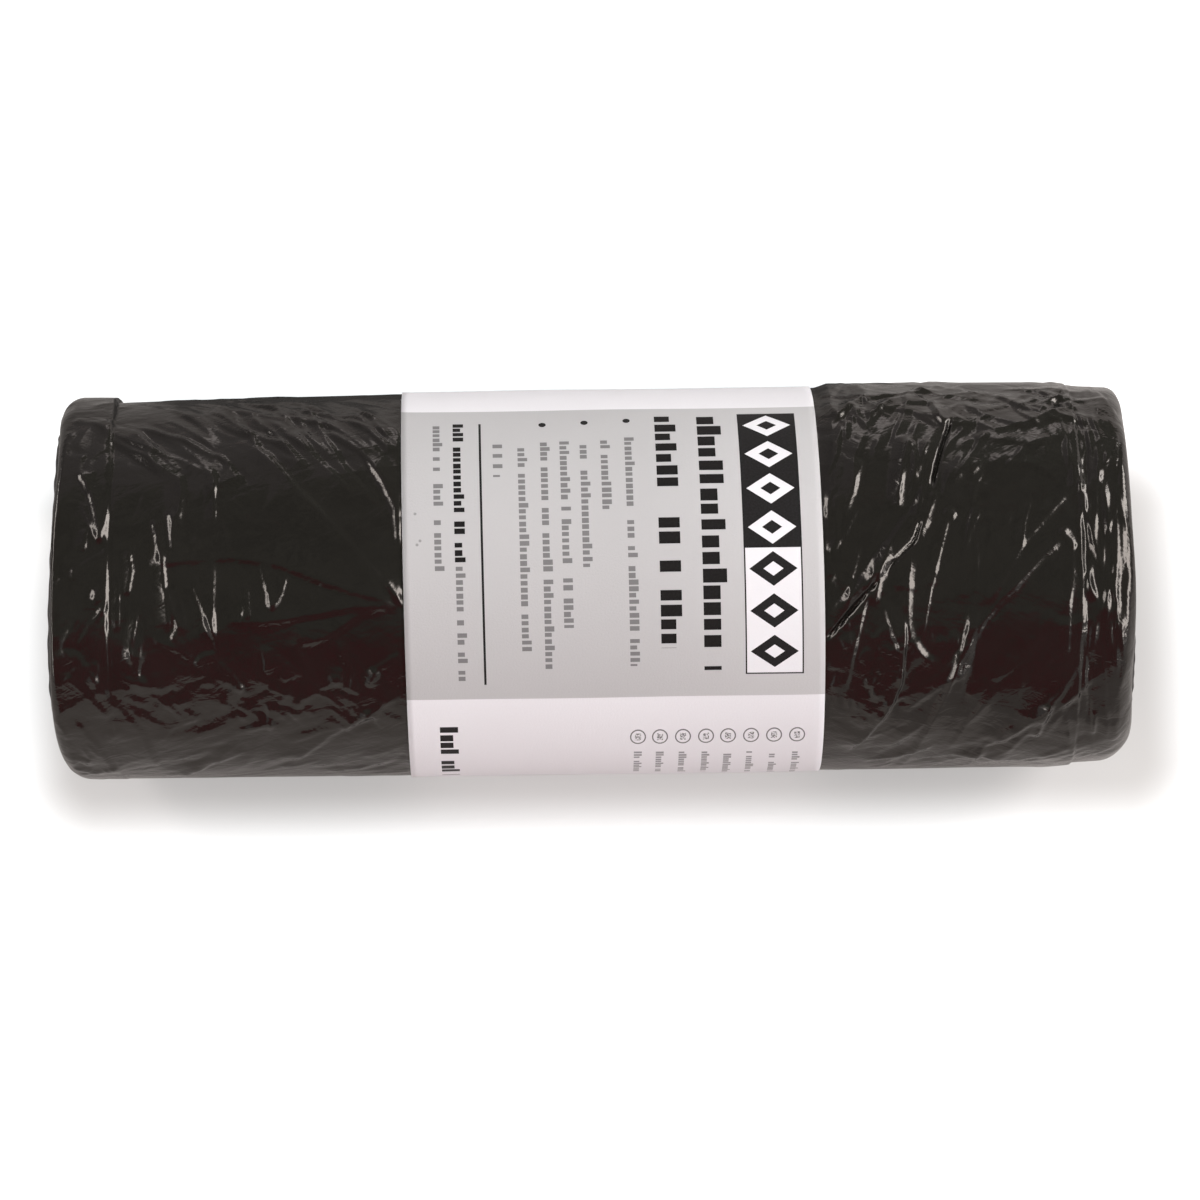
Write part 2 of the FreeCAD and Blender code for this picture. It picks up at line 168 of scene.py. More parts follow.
def press(field, x, arc, line, rise, left, right, fade=RANDOM_FADE):
    """Adds one crease to the field of heights.

    Its height is rise times (1 - d / width) to the power FLANK_POWER, where d is the distance from the
    broken line, and the width is left on the left of the way it runs and right on the other side. Its
    flanks are nearly flat, as pulled film is. It fades out over a share of its length at each end."""
    line = np.asarray(line, float)
    reach = max(left, right)
    middle = line[:, 1].mean()
    local = (arc - middle + GIRTH / 2) % GIRTH - GIRTH / 2
    low, high = line[:, 1].min() - middle - reach, line[:, 1].max() - middle + reach
    columns = np.nonzero((local > low) & (local < high))[0]
    span = x[:, 0]
    margin = reach + 2
    rows = np.nonzero((span > line[:, 0].min() - margin) & (span < line[:, 0].max() + margin))[0]
    if not len(rows) or not len(columns):
        return
    px = x[np.ix_(rows, columns)]
    py = np.broadcast_to(local[columns], px.shape)
    nearest = np.full(px.shape, 1e9)
    side = np.ones(px.shape)
    travelled = np.zeros(px.shape)
    steps = np.hypot(*np.diff(line, axis=0).T)
    whole, done = steps.sum(), 0.0
    for (ax, ay), (bx, by), length in zip(line[:-1], line[1:], steps):
        ay, by = ay - middle, by - middle
        ux, uy = (bx - ax) / length, (by - ay) / length
        t = np.clip((px - ax) * ux + (py - ay) * uy, 0.0, length)
        gap = np.hypot(px - ax - t * ux, py - ay - t * uy)
        closer = gap < nearest
        cross = ux * (py - ay) - uy * (px - ax)
        side = np.where(closer, np.sign(cross), side)
        travelled = np.where(closer, done + t, travelled)
        nearest = np.minimum(nearest, gap)
        done += length
    part = travelled / whole
    ends = smooth(part / fade) * smooth((1 - part) / fade)
    flank = np.maximum(0.0, 1 - nearest / np.where(side >= 0, left, right)) ** FLANK_POWER
    field[np.ix_(rows, columns)] += rise * ends * flank


def scatter(field, x, arc, seed, count, place, turn, lengths, rises, widths, blunt=1.0, one_way=False,
            gentle=3.0):
    """Presses a family of random creases.

    place is (lowest x, highest x, lowest angle, highest angle), turn is (mean direction, spread) in
    degrees from the axis, and lengths, rises and widths are ranges. Each crease bends a little at its
    middle. One in four is a furrow, 0.7 times as deep as a crease is high. The steep flank is at least
    gentle times as wide as the crease is high. It is on the right of the crease's way where one_way is
    true, and otherwise on either side."""
    rng = np.random.default_rng(seed)
    for _ in range(count):
        middle = np.array([rng.uniform(place[0], place[1]), 0.0])
        middle[1] = math.radians(rng.uniform(place[2], place[3])) * FILM_RADIUS
        way = math.radians(rng.normal(turn[0], turn[1]))
        half = rng.uniform(*lengths) / 2
        bend = math.radians(rng.normal(0.0, 7.0))
        run = np.array([math.cos(way - bend), math.sin(way - bend)])
        back = np.array([math.cos(way + bend), math.sin(way + bend)])
        rise = rng.uniform(*rises) * (1 if rng.random() < 0.75 else -0.7)
        sharp = max(rng.uniform(*widths), gentle * abs(rise))
        soft = sharp * rng.uniform(1.3, 1.3 + 3.2 * blunt)
        first = not one_way and rng.random() < 0.5
        pair = (sharp, soft) if first else (soft, sharp)
        press(field, x, arc, [middle - half * back, middle, middle + half * run], rise, *pair)


def waves(x, theta, seed, count, reach, lengths, twist):
    """Broad swells: a sum of sines, each with a whole number of waves round the roll."""
    rng = np.random.default_rng(seed)
    field = np.zeros(x.shape)
    for _ in range(count):
        number = rng.integers(2, 9)
        along = 2 * math.pi / rng.uniform(*lengths)
        lean = twist * number * rng.uniform(0.4, 1.0)
        slope = along * rng.choice([-1, 1]) * 0.35 + lean
        field += np.sin(number * theta + slope * x + rng.uniform(0, 6.28)) / count
    return reach * field


# Creases read off the photograph: rise, widths left and right of their way, and the pixels they pass.
LEFT_CREASES = {
    "strip_glint": (0.39, 2.2, 0.95, ((78, 466), (92, 495), (102, 543))),
    "strip_glint_beside": (0.2, 1.8, 0.6, ((80, 500), (102, 545))),
    "strip_glint_low": (0.28, 0.6, 1.8, ((86, 528), (83, 552))),
    "strip_crease": (-0.4, 1.3, 2.2, ((109, 543), (76, 564), (44, 588))),
    "strip_line": (-0.1, 0.5, 0.6, ((112, 396), (110, 500), (109, 600), (110, 700), (117, 772))),
    "strip_fan_upper": (0.3, 0.8, 2.4, ((106, 585), (80, 612), (60, 652))),
    "strip_fan_middle": (0.26, 0.7, 1.8, ((104, 592), (86, 616), (66, 650))),
    "strip_fan_lower": (0.24, 0.7, 2.5, ((106, 604), (90, 626), (76, 652))),
    "strip_edge_glint": (0.19, 0.9, 2.2, ((106, 560), (104, 600), (105, 640))),
    "strip_low_fold": (0.26, 0.9, 3, ((63, 673), (84, 693), (108, 719))),
    "strip_low_fold_inner": (0.22, 0.8, 3, ((66, 643), (88, 672), (109, 700))),
    "strip_foot_fold": (0.24, 0.8, 3, ((70, 716), (96, 746), (122, 776))),
    "beside_strip": (0.37, 0.8, 1.6, ((127, 548), (131, 570), (126, 598))),
    "beside_strip_long": (0.28, 0.6, 1.2, ((118, 575), (117, 635))),
    "beside_strip_low": (0.28, 0.6, 1.4, ((137, 610), (130, 650), (132, 668))),
    "curl": (0.3, 0.9, 2.6, ((140, 443), (155, 462), (180, 478), (182, 492), (177, 530))),
    "curl_branch": (0.2, 0.8, 2.2, ((187, 462), (215, 474))),
    "glint_left": (0.25, 1.8, 0.75, ((153, 518), (157, 540), (161, 564))),
    "glint_middle": (0.28, 1.8, 0.85, ((171, 510), (173, 552))),
    "glint_thin": (0.28, 0.6, 1.6, ((214, 470), (214, 525))),
    "twin_upper": (0.44, 0.8, 2.2, ((161, 548), (164, 590), (170, 634))),
    "twin_lower": (0.34, 1.8, 0.75, ((166, 585), (172, 612), (178, 628), (170, 644))),
    "prong_short": (0.21, 1.8, 0.65, ((192, 580), (206, 616), (214, 638))),
    "prong_long": (0.33, 0.8, 2, ((213, 558), (212, 600), (212, 642))),
    "prong_foot": (0.24, 1.8, 0.8, ((205, 616), (214, 634), (220, 658))),
    "hook_left": (0.28, 1.8, 0.85, ((262, 564), (268, 590), (272, 610))),
    "hook_right": (0.32, 0.7, 1.8, ((286, 574), (280, 596), (270, 612))),
    "hook_beside": (0.25, 0.55, 1.4, ((246, 586), (249, 620))),
    "long_diagonal": (0.3, 0.9, 4.5, ((214, 400), (262, 454), (315, 507), (360, 556), (404, 604))),
    "long_diagonal_inner": (0.22, 0.6, 3, ((262, 446), (298, 494), (330, 520))),
    "diagonal_middle": (0.3, 0.8, 4, ((268, 402), (308, 452), (359, 502))),
    "diagonal_upper": (0.26, 0.8, 3.6, ((300, 402), (326, 440), (345, 470), (380, 510))),
    "diagonal_high": (0.24, 1.1, 4, ((180, 404), (216, 428), (262, 452), (316, 470))),
    "diagonal_right": (0.24, 0.8, 3, ((345, 416), (376, 440), (398, 452))),
    "bow": (0.36, 2.6, 0.9, ((366, 460), (385, 486), (396, 508), (400, 552))),
    "eyebrow": (0.46, 8, 1.1, ((136, 571), (158, 563), (183, 560), (234, 557), (282, 565), (328, 583),
                                 (402, 604))),
    "eyelid": (0.36, 5, 1, ((214, 624), (270, 622), (310, 615), (356, 606), (402, 606))),
    "eyelash": (0.34, 5, 1, ((288, 648), (328, 637), (359, 614), (400, 604))),
    "cheek_glint": (0.24, 3, 0.9, ((293, 712), (303, 701), (322, 689), (345, 677))),
    "cheek_glint_low": (0.24, 0.9, 3, ((342, 731), (356, 719), (378, 708))),
    "tooth_glint": (0.26, 0.8, 1.8, ((196, 668), (201, 658), (217, 653))),
    "tooth_fold": (0.26, 2.6, 0.8, ((150, 640), (180, 652), (204, 668))),
    "band_side_curl": (0.28, 0.9, 2.6, ((366, 690), (378, 668), (403, 653))),
    "low_diagonal": (0.34, 4, 1.1, ((285, 764), (330, 734), (372, 712), (408, 690))),
    "low_diagonal_left": (0.26, 3.6, 1, ((180, 775), (214, 762), (248, 750))),
    "low_left_sweep": (0.26, 1, 3.6, ((100, 690), (140, 732), (160, 770))),
    "star_by_band": (0.46, 1.8, 0.8, ((384, 578), (396, 596), (405, 606))),
}
RIGHT_CREASES = {
    "near_glint": (0.32, 0.85, 2.2, ((862, 460), (853, 492), (843, 520))),
    "near_thin": (0.23, 0.6, 2, ((858, 508), (845, 534), (828, 556))),
    "near_edge": (0.23, 0.6, 1.4, ((833, 488), (828, 504), (826, 518))),
    "lens_left": (0.56, 1.15, 2, ((909, 436), (902, 466), (897, 516))),
    "lens_right": (0.4, 0.8, 1.8, ((910, 442), (915, 462), (914, 484))),
    "lens_beside": (0.29, 0.75, 1.8, ((929, 442), (922, 458), (918, 478))),
    "tick": (0.5, 2, 0.8, ((930, 403), (938, 418), (947, 434))),
    "flap_crack": (-0.85, 0.42, 0.42, ((952, 420), (944, 440), (938, 461), (931, 490))),
    "flap_crack_middle": (-0.6, 0.35, 0.35, ((921, 520), (914, 542), (893, 563), (886, 572))),
    "flap_crack_low": (-0.75, 0.4, 0.42, ((880, 578), (858, 602), (824, 642))),
    "flap_edge": (0.26, 1.3, 4, ((944, 425), (936, 440), (930, 461), (917, 514), (906, 540), (886, 560),
                                 (850, 600), (822, 634))),
    "flap_lower": (-0.3, 1, 2.6, ((925, 487), (902, 516), (876, 553), (850, 585), (826, 612))),
    "patch_left": (0.36, 0.95, 2, ((891, 540), (880, 572), (874, 606))),
    "patch_right": (0.36, 0.95, 2, ((938, 492), (926, 520), (917, 540))),
    "stem": (0.42, 1.1, 2.4, ((912, 548), (908, 584), (907, 618), (911, 640), (922, 654), (940, 670))),
    "stem_beside": (0.32, 2.2, 0.8, ((886, 604), (894, 632), (903, 654))),
    "thin_arc": (0.23, 0.6, 1.8, ((950, 510), (941, 545), (930, 590), (921, 640))),
    "spot": (0.36, 1.1, 1.1, ((944, 511), (955, 519))),
    "ridge": (0.32, 2.6, 0.95, ((976, 584), (971, 606), (970, 628), (957, 668), (937, 710), (912, 752),
                                (896, 768))),
    "long_thin": (0.25, 0.65, 2, ((878, 555), (863, 610), (852, 656), (843, 696))),
    "star_arm": (0.34, 0.85, 3, ((1069, 535), (1043, 555), (1020, 580), (999, 602), (968, 640))),
    "star_heart": (0.46, 1.2, 1.2, ((1060, 528), (1076, 549))),
    "star_left": (0.28, 0.8, 2.6, ((1074, 486), (1050, 512), (1022, 545), (984, 610))),
    "star_foot": (0.12, 0.5, 1.4, ((1073, 542), (1070, 592), (1067, 662))),
    "side_glint": (0.23, 0.6, 1.6, ((1031, 498), (1024, 522), (1021, 550))),
    "flap_hem": (0.6, 0.45, 5.5, ((903, 606), (905, 636), (901, 681), (889, 707), (867, 734), (846, 752))),
    "oval_top": (0.34, 7, 1.1, ((946, 488), (968, 470), (1000, 463), (1036, 466), (1064, 482))),
    "oval_foot": (-0.22, 2, 5, ((950, 494), (985, 501), (1020, 503), (1058, 495))),
    "low_fold_one": (0.34, 3.6, 1.1, ((950, 770), (985, 744), (1040, 716), (1088, 652))),
    "low_fold_two": (0.3, 3.2, 1.1, ((900, 712), (925, 694), (950, 678), (974, 670))),
    "low_fold_three": (0.28, 3.4, 1, ((1000, 752), (1036, 722), (1080, 690))),
    "low_glint": (0.46, 1.8, 0.8, ((1034, 736), (1046, 714), (1051, 700))),
    "low_line": (0.24, 2.8, 0.9, ((905, 760), (960, 752), (1020, 758), (1066, 748))),
    "high_wave_one": (0.28, 3.6, 1.1, ((955, 402), (985, 416), (1022, 426), (1052, 412), (1084, 400))),
    "high_wave_two": (0.26, 3.2, 1, ((960, 420), (996, 430), (1030, 422), (1080, 414))),
    "high_line": (0.2, 2.6, 1, ((980, 438), (1030, 444), (1070, 432))),
    "zigzag_one": (0.3, 2.4, 1, ((820, 402), (838, 420), (862, 402), (878, 414), (900, 398))),
    "zigzag_two": (0.28, 2, 0.9, ((830, 424), (850, 410), (866, 428), (884, 406))),
    "end_crack": (-0.14, 0.5, 0.45, ((1084, 400), (1087, 470), (1086, 560), (1088, 680), (1092, 760))),
    "end_ridge": (0.42, 1.8, 0.8, ((1078, 474), (1086, 511), (1096, 548), (1101, 572))),
    "end_bright_one": (0.22, 0.8, 1.5, ((1105, 470), (1108, 540), (1106, 640))),
    "end_bright_two": (0.21, 0.8, 1.4, ((1115, 466), (1117, 560), (1115, 640), (1119, 694))),
}


# Broad swells: what is added to the seed, how many, their height, their lengths and how far they wind.
# Random families: what is added to the seed, and then what scatter takes.
LEFT_SWELLS = (0, 7, 0.45, (18, 60), -0.012)
LEFT_FAMILIES = (
    (1, 60, (-70, -27, 40, 88), (-46, 9), (7, 26), (0.1, 0.3), (0.5, 1.1)),
    (8, 20, (-68, -28, 42, 72), (-44, 7), (10, 28), (0.2, 0.36), (0.5, 0.9), 1.2, True, 2.4),
    (2, 24, (-71, -36, -14, 30), (92, 12), (1.5, 5), (0.03, 0.1), (0.3, 0.5)),
    (3, 50, (-70, -28, -90, -36), (32, 14), (5, 20), (0.06, 0.24), (0.6, 1.6)),
    (4, 60, (-79, -71, -80, 88), (60, 40), (2, 9), (0.06, 0.24), (0.5, 1.2)),
    (5, 90, (-69, -30, -46, -20), (-50, 30), (1.5, 8), (0.08, 0.24), (0.4, 1.1)),
    (6, 80, (-78, -28, 92, 268), (-45, 25), (5, 26), (0.08, 0.34), (0.6, 1.8)),
    (7, 44, (-70, -28, -30, 44), (-30, 40), (3, 16), (0.03, 0.1), (0.5, 1.4)),
)
RIGHT_SWELLS = (20, 7, 0.45, (16, 50), 0.014)
RIGHT_FAMILIES = (
    (21, 40, (35, 58, -30, 56), (68, 12), (4, 18), (0.06, 0.22), (0.4, 1.1)),
    (22, 60, (35, 74, 50, 88), (20, 40), (3, 14), (0.1, 0.3), (0.5, 1.3)),
    (28, 18, (36, 72, 50, 74), (-15, 30), (6, 16), (0.2, 0.34), (0.5, 0.9), 1.2, True, 2.4),
    (23, 50, (38, 74, -90, -32), (42, 14), (5, 20), (0.06, 0.26), (0.6, 1.6)),
    (24, 60, (71, 79.5, -60, 80), (90, 6), (4, 22), (0.1, 0.3), (0.4, 0.9)),
    (25, 60, (50, 72, -46, 45), (50, 30), (2, 12), (0.05, 0.18), (0.4, 1)),
    (26, 80, (36, 78, 92, 268), (50, 25), (5, 26), (0.08, 0.34), (0.6, 1.8)),
    (27, 44, (35, 47, -48, 6), (50, 40), (1.5, 6), (0.1, 0.26), (0.4, 0.8)),
)
LEFT_FILM = (LEFT_SWELLS, LEFT_FAMILIES, LEFT_CREASES)
RIGHT_FILM = (RIGHT_SWELLS, RIGHT_FAMILIES, RIGHT_CREASES)


def film_creases(side, x, theta):
    """The height of the film over its plain wall: swells, random creases and the ones read off.

    It drops to 0.35 times that at the top and the foot of the view, where the film is pulled straight."""
    arc = theta[0] * FILM_RADIUS
    film = bpy.context.scene.bag_film
    swells, families, named = LEFT_FILM if side < 0 else RIGHT_FILM
    field = waves(x, theta, film.crease_seed + swells[0], *swells[1:])
    for own_seed, *family in families:
        scatter(field, x, arc, film.crease_seed + own_seed, *family)
    for rise, left, right, pixels in named.values():
        line = [(place, angle * FILM_RADIUS) for place, angle in (seen_at(p, FILM_RADIUS) for p in pixels)]
        press(field, x, arc, line, rise, left, right, fade=NAMED_FADE)
    calm = 1.0 - 0.65 * smooth((np.abs(np.sin(theta)) - 0.95) / 0.04)
    return field * calm * film.crease_height


# The plain wall's radius at places along the axis, at the top and at the foot of the view.
LEFT_TOP = ((-80, -71, -58, -47, -32, -28, -26), (28.6, 28.5, 28.75, 28.9, 29.1, 29.15, 29.1))
LEFT_FOOT = ((-80, -69, -47, -30, -26), (28.75, 28.95, 29.08, 29.1, 29.05))
RIGHT_TOP = ((33, 34.6, 36.4, 50, 68, 72, 80), (29.05, 29.15, 29.75, 29.7, 29.4, 29.05, 28.7))
RIGHT_FOOT = ((33, 34.6, 50, 70, 74, 80), (29.05, 29.2, 29.24, 29.2, 28.95, 28.6))
LAST_TURN_EDGE = -70.9
LOOSE_TURN_STEP = 72.4
# The left end's waves, one, two and three ways round: height, and the crest's angle in degrees.
LEFT_END_WAVES = ((0.35, -35), (0.23, -112), (0.21, -94))
# The right corner's radius at angles in degrees.
RIGHT_CORNER = ((-180, -90, -45, -20, 0, 20, 40, 60, 85, 120, 180),
                (3.4, 4.4, 4.2, 2.6, 1.4, 1.4, 1.9, 2.8, 1.9, 2.4, 3.4))


def film_base(side, x, theta):
    """The plain wall's radius in millimetres: one line for the top and one for the foot of the view,
    blended by (1 + sin angle) / 2. The left end has a raised strip, the edge of the last turn, which
    stands out most at the top. The right end is a little thinner past a step."""
    top = (1.0 + np.sin(theta)) / 2
    if side < 0:
        upper, lower = np.interp(x, *LEFT_TOP), np.interp(x, *LEFT_FOOT)
        edge = LAST_TURN_EDGE + 0.25 * np.sin(3 * theta) + 0.12 * np.sin(11 * theta + 1.0)
        raised = 0.10 + 0.72 * smooth((np.sin(theta) - 0.45) / 0.5)
        strip = raised * smooth((edge - x) / 0.5)
        return lower + (upper - lower) * top + strip
    upper, lower = np.interp(x, *RIGHT_TOP), np.interp(x, *RIGHT_FOOT)
    step = 0.3 * smooth((x - LOOSE_TURN_STEP - 0.2 * np.sin(2 * theta)) / 0.5)
    return lower + (upper - lower) * top - step


def end_place(side, theta):
    """How far out the end face stands. The left end is a sum of three cosines about HALF_LENGTH - 0.55.
    The right end is HALF_LENGTH + 0.72 - 0.25 cos(2 angle) - 0.35 sin(angle)."""
    if side < 0:
        swings = [height * np.cos(ways * theta - math.radians(crest))
                  for ways, (height, crest) in enumerate(LEFT_END_WAVES, start=1)]
        return HALF_LENGTH - 0.55 + sum(swings)
    return HALF_LENGTH + 0.72 - 0.25 * np.cos(2 * theta) - 0.35 * np.sin(theta)


def end_corner(side, theta):
    """The radius of the corner between the wall and the end face: 2.2 + sin^2 - 1.7 cos, where the cosine
    is above 0, on the left, and read from a table on the right."""
    if side < 0:
        return 2.2 + 1.0 * np.sin(theta) ** 2 - 1.7 * np.maximum(np.cos(theta), 0.0)
    return np.interp(np.degrees(theta), *RIGHT_CORNER, period=360)


# What the band hides of the film: rows at distances from its middle, and rows from inside its edge.
HIDDEN_ROWS = (0, 15, 28)
UNDER_EDGE = 1.5
# The film's height over the paper on the flat spot, where both would lie in one plane.
FILM_OVER_PAPER = 0.2


def film_wall(side, columns, rows):
    """The film's wall on one side of the band and its corner, as rows of points.

    Most rows step evenly along the axis at the wall's radius. The last ones turn the corner on a quarter
    circle. The creases' height is laid off square to that outline and fades out under the band."""
    theta = around(columns)[None, :]
    inner = np.array([BAND_MIDDLE + side * hidden for hidden in HIDDEN_ROWS])[:, None] + 0 * theta
    end, corner = end_place(side, theta), end_corner(side, theta)
    start = (BAND_EDGES[0] + UNDER_EDGE) if side < 0 else (BAND_EDGES[1] - UNDER_EDGE)
    bend = np.linspace(0.0, math.pi / 2, CORNER_ROWS)[1:, None]
    step = np.linspace(0.0, 1.0, rows - len(bend) - len(inner))[:, None]
    straight = start + step * (side * (end - corner) - start)
    straight = np.concatenate([inner, straight])
    along = np.concatenate([straight, side * (end - corner + corner * bend)])
    place = np.concatenate([straight, side * (end - corner + corner * np.sin(bend))])
    lean = np.concatenate([np.zeros(straight.shape), np.broadcast_to(bend, (len(bend), columns))])
    full = np.broadcast_to(theta, along.shape)
    base = film_base(side, np.clip(along, -80, 80), full)
    drop = np.concatenate([np.zeros(straight.shape), corner * (1 - np.cos(bend))])
    height = film_creases(side, along, full)
    out_of_band = smooth((np.abs(along - BAND_MIDDLE) - (BAND_EDGES[1] - BAND_MIDDLE) + 0.3) / 1.2)
    height = height * out_of_band
    radius = base - drop + height * np.cos(lean)
    points = placed(place + side * height * np.sin(lean), radius, full)
    points[..., 2] = np.maximum(points[..., 2], FILM_OVER_PAPER * (1.0 - out_of_band))
    return points


# The collapsed hole's half width and half height, how far into it each row of points goes, as a share of
# the way to the middle, and how far past HALF_LENGTH a turn may stand out.
HOLE_HALF_SIZES = (5.6, 1.7)
HOLE_ROWS = (0.03, 0.1, 0.25, 0.5, 1.0)
FURTHEST_OUT = 1.3


def wound_end(side, rim, rows):
    """The end of the roll, from the film's rim in to the collapsed hole and through it to the middle.

    Each row is a blend between the rim and the hole's flat loop. The spiral's count is turns times the
    blend plus the angle as a part of a turn. Every turn is a rounded fold, sqrt(1 - (2f - 1)^2) high at
    its fraction f, and stands out by its own smooth random amount, which runs on along the spiral."""
    film = bpy.context.scene.bag_film
    rng = np.random.default_rng(film.crease_seed + (40 if side < 0 else 60))
    columns = rim.shape[0]
    theta = around(columns)
    a = VIEW_ELEVATION + theta
    half_width, half_height = HOLE_HALF_SIZES
    height = AXIS_HEIGHT + half_height * np.sin(a) + 0.35 * np.sin(3 * a)
    hole = np.stack([-half_width * np.cos(a), height], axis=-1)
    blend = np.linspace(0.0, 1.0, rows)[1:, None]
    wander = 0.010 * np.sin(3 * theta + 1.3 * side)
    wander = wander + 0.006 * np.sin(7 * theta + 4 * blend) * smooth(blend / 0.2)
    part = (theta - theta[0]) / (2 * math.pi)
    count = film.turns * (blend + wander * (1 - blend)) + part
    layer = np.floor(count)
    inside = count - layer
    fold = np.sqrt(np.maximum(0.0, 1 - (2 * inside - 1) ** 2))
    length = layer - part
    table = rng.normal(0.0, 1.0, 8 * (film.turns + 4))
    own = np.interp((length + 2) * 6, np.arange(len(table)), table)
    slow = np.interp((length + 2) * 1.3, np.arange(len(table)), rng.normal(0.0, 1.0, len(table)))
    ripple = np.sin(theta * 23 + 5 * own) * 0.5 + np.sin(theta * 41 + 9 * slow) * 0.4
    stand = film.turn_depth * (fold - 1.0) + 0.16 * own + 0.30 * slow + 0.10 * ripple
    stand = stand * smooth(blend / 0.05) - 0.8 * smooth((blend - 0.75) / 0.25)
    flat = rim[None, :, 1:] * (1 - blend[..., None]) + hole[None] * blend[..., None]
    face = end_place(side, theta)[None] + stand
    inward = smooth(blend[:3] / blend[3])
    face[:3] = face[:3] * inward + np.abs(rim[None, :, 0]) * (1 - inward)
    face = np.minimum(face, HALF_LENGTH + FURTHEST_OUT)
    disc = np.concatenate([side * face[..., None], flat], axis=-1)
    deep = np.array(HOLE_ROWS)[:, None]
    tunnel = np.empty((len(deep), columns, 3))
    tunnel[..., 0] = side * face[-1] * (1 - deep) + BAND_MIDDLE * deep
    tunnel[..., 1:] = hole
    points = np.concatenate([rim[None], disc, tunnel])
    points[..., 2] = np.maximum(points[..., 2], 0.0)
    return points


# The paper band

# The angle of its free end, the lengths of its lap and of the ramp up to it, its thickness, and the angle
# and size of its ring's lean, in millimetres along the axis.
LAP_FREE_END = math.radians(170)
LAP_LENGTH = 15.0
LAP_RAMP = 4.0
PAPER = 0.12
LEAN_ANGLE = math.radians(31)
LEAN = 0.5


def band_lean(theta):
    """How far the band is shifted along the axis: LEAN cos(angle + LEAN_ANGLE), less that at angle 0."""
    return LEAN * np.cos(theta + LEAN_ANGLE) - LEAN * math.cos(LEAN_ANGLE)


def band_wave(along, theta):
    """The paper's own unevenness: two sines of slack over the film, a lift that dies out in from its
    edges, and a slight cone."""
    share = (along - BAND_EDGES[0]) / (BAND_EDGES[1] - BAND_EDGES[0])
    edge = np.exp(-share / 0.03) + np.exp(-(1 - share) / 0.03)
    slack = 0.035 * np.sin(3 * theta + 9 * share) + 0.02 * np.sin(8 * theta - 14 * share)
    lift = edge * (0.05 * np.sin(5 * theta + 2) + 0.03 * np.sin(13 * theta))
    taper = (share - 0.5) * (0.03 - 0.22 * np.sin(theta) * 0.5)
    return slack + lift + taper


def band_points(columns, rows):
    """The strip's middle surface round the roll, from its covered end to its free end on top of it.

    The radius rises by one paper thickness over a short ramp before the free end's lap begins."""
    reach = LAP_LENGTH / BAND_RADIUS
    ramp = LAP_RAMP / BAND_RADIUS
    theta = np.linspace(LAP_FREE_END - reach - 2 * math.pi, LAP_FREE_END, columns)[None, :]
    share = np.linspace(0.0, 1.0, rows)[:, None]
    along = BAND_EDGES[0] + share * (BAND_EDGES[1] - BAND_EDGES[0]) + band_lean(theta)
    raised = smooth((theta - (LAP_FREE_END - reach - ramp)) / ramp)
    radius = BAND_RADIUS - PAPER / 2 + band_wave(along, theta) + raised * PAPER * 1.05
    return along, radius, theta, share


def paper_band(columns, rows):
    """The band with its thickness: the strip's outer and inner sides, joined by its four edges.

    Both sides are the middle surface moved by half the thickness, pressed flat where the roll lies."""
    along, radius, theta, share = band_points(columns, rows)
    sides = []
    for way in (0.5, -0.5):
        points = placed(along, radius + way * PAPER, theta)
        floor = 0.0 if way > 0 else PAPER
        points[..., 2] = np.maximum(points[..., 2], floor)
        sides.append(points)
    outer, inner = sides
    ring = np.stack([outer, inner])
    index = np.arange(ring[..., 0].size).reshape(2, rows, columns)
    top, under = index

    def quads_of(lattice):
        corners = [lattice[:-1, :-1], lattice[:-1, 1:], lattice[1:, 1:], lattice[1:, :-1]]
        return np.stack(corners, axis=-1).reshape(-1, 4)

    hems = [
        np.stack([top[0], under[0]]), np.stack([under[-1], top[-1]]),
        np.stack([under[:, 0], top[:, 0]]), np.stack([top[:, -1], under[:, -1]]),
    ]
    quads = np.concatenate([quads_of(top)[:, ::-1], quads_of(under)] + [quads_of(h) for h in hems])
    width = BAND_EDGES[1] - BAND_EDGES[0]
    sheet = np.stack(np.broadcast_arrays(share * width, theta * BAND_RADIUS), axis=-1).reshape(-1, 2)
    return ring.reshape(-1, 3), quads, np.concatenate([sheet, sheet])


# Node trees

def math_method(operation):
    """A method that adds a Math node of this operation on its signal and the other values."""
    def method(self, *values):
        return self.math(operation, *values)
    return method


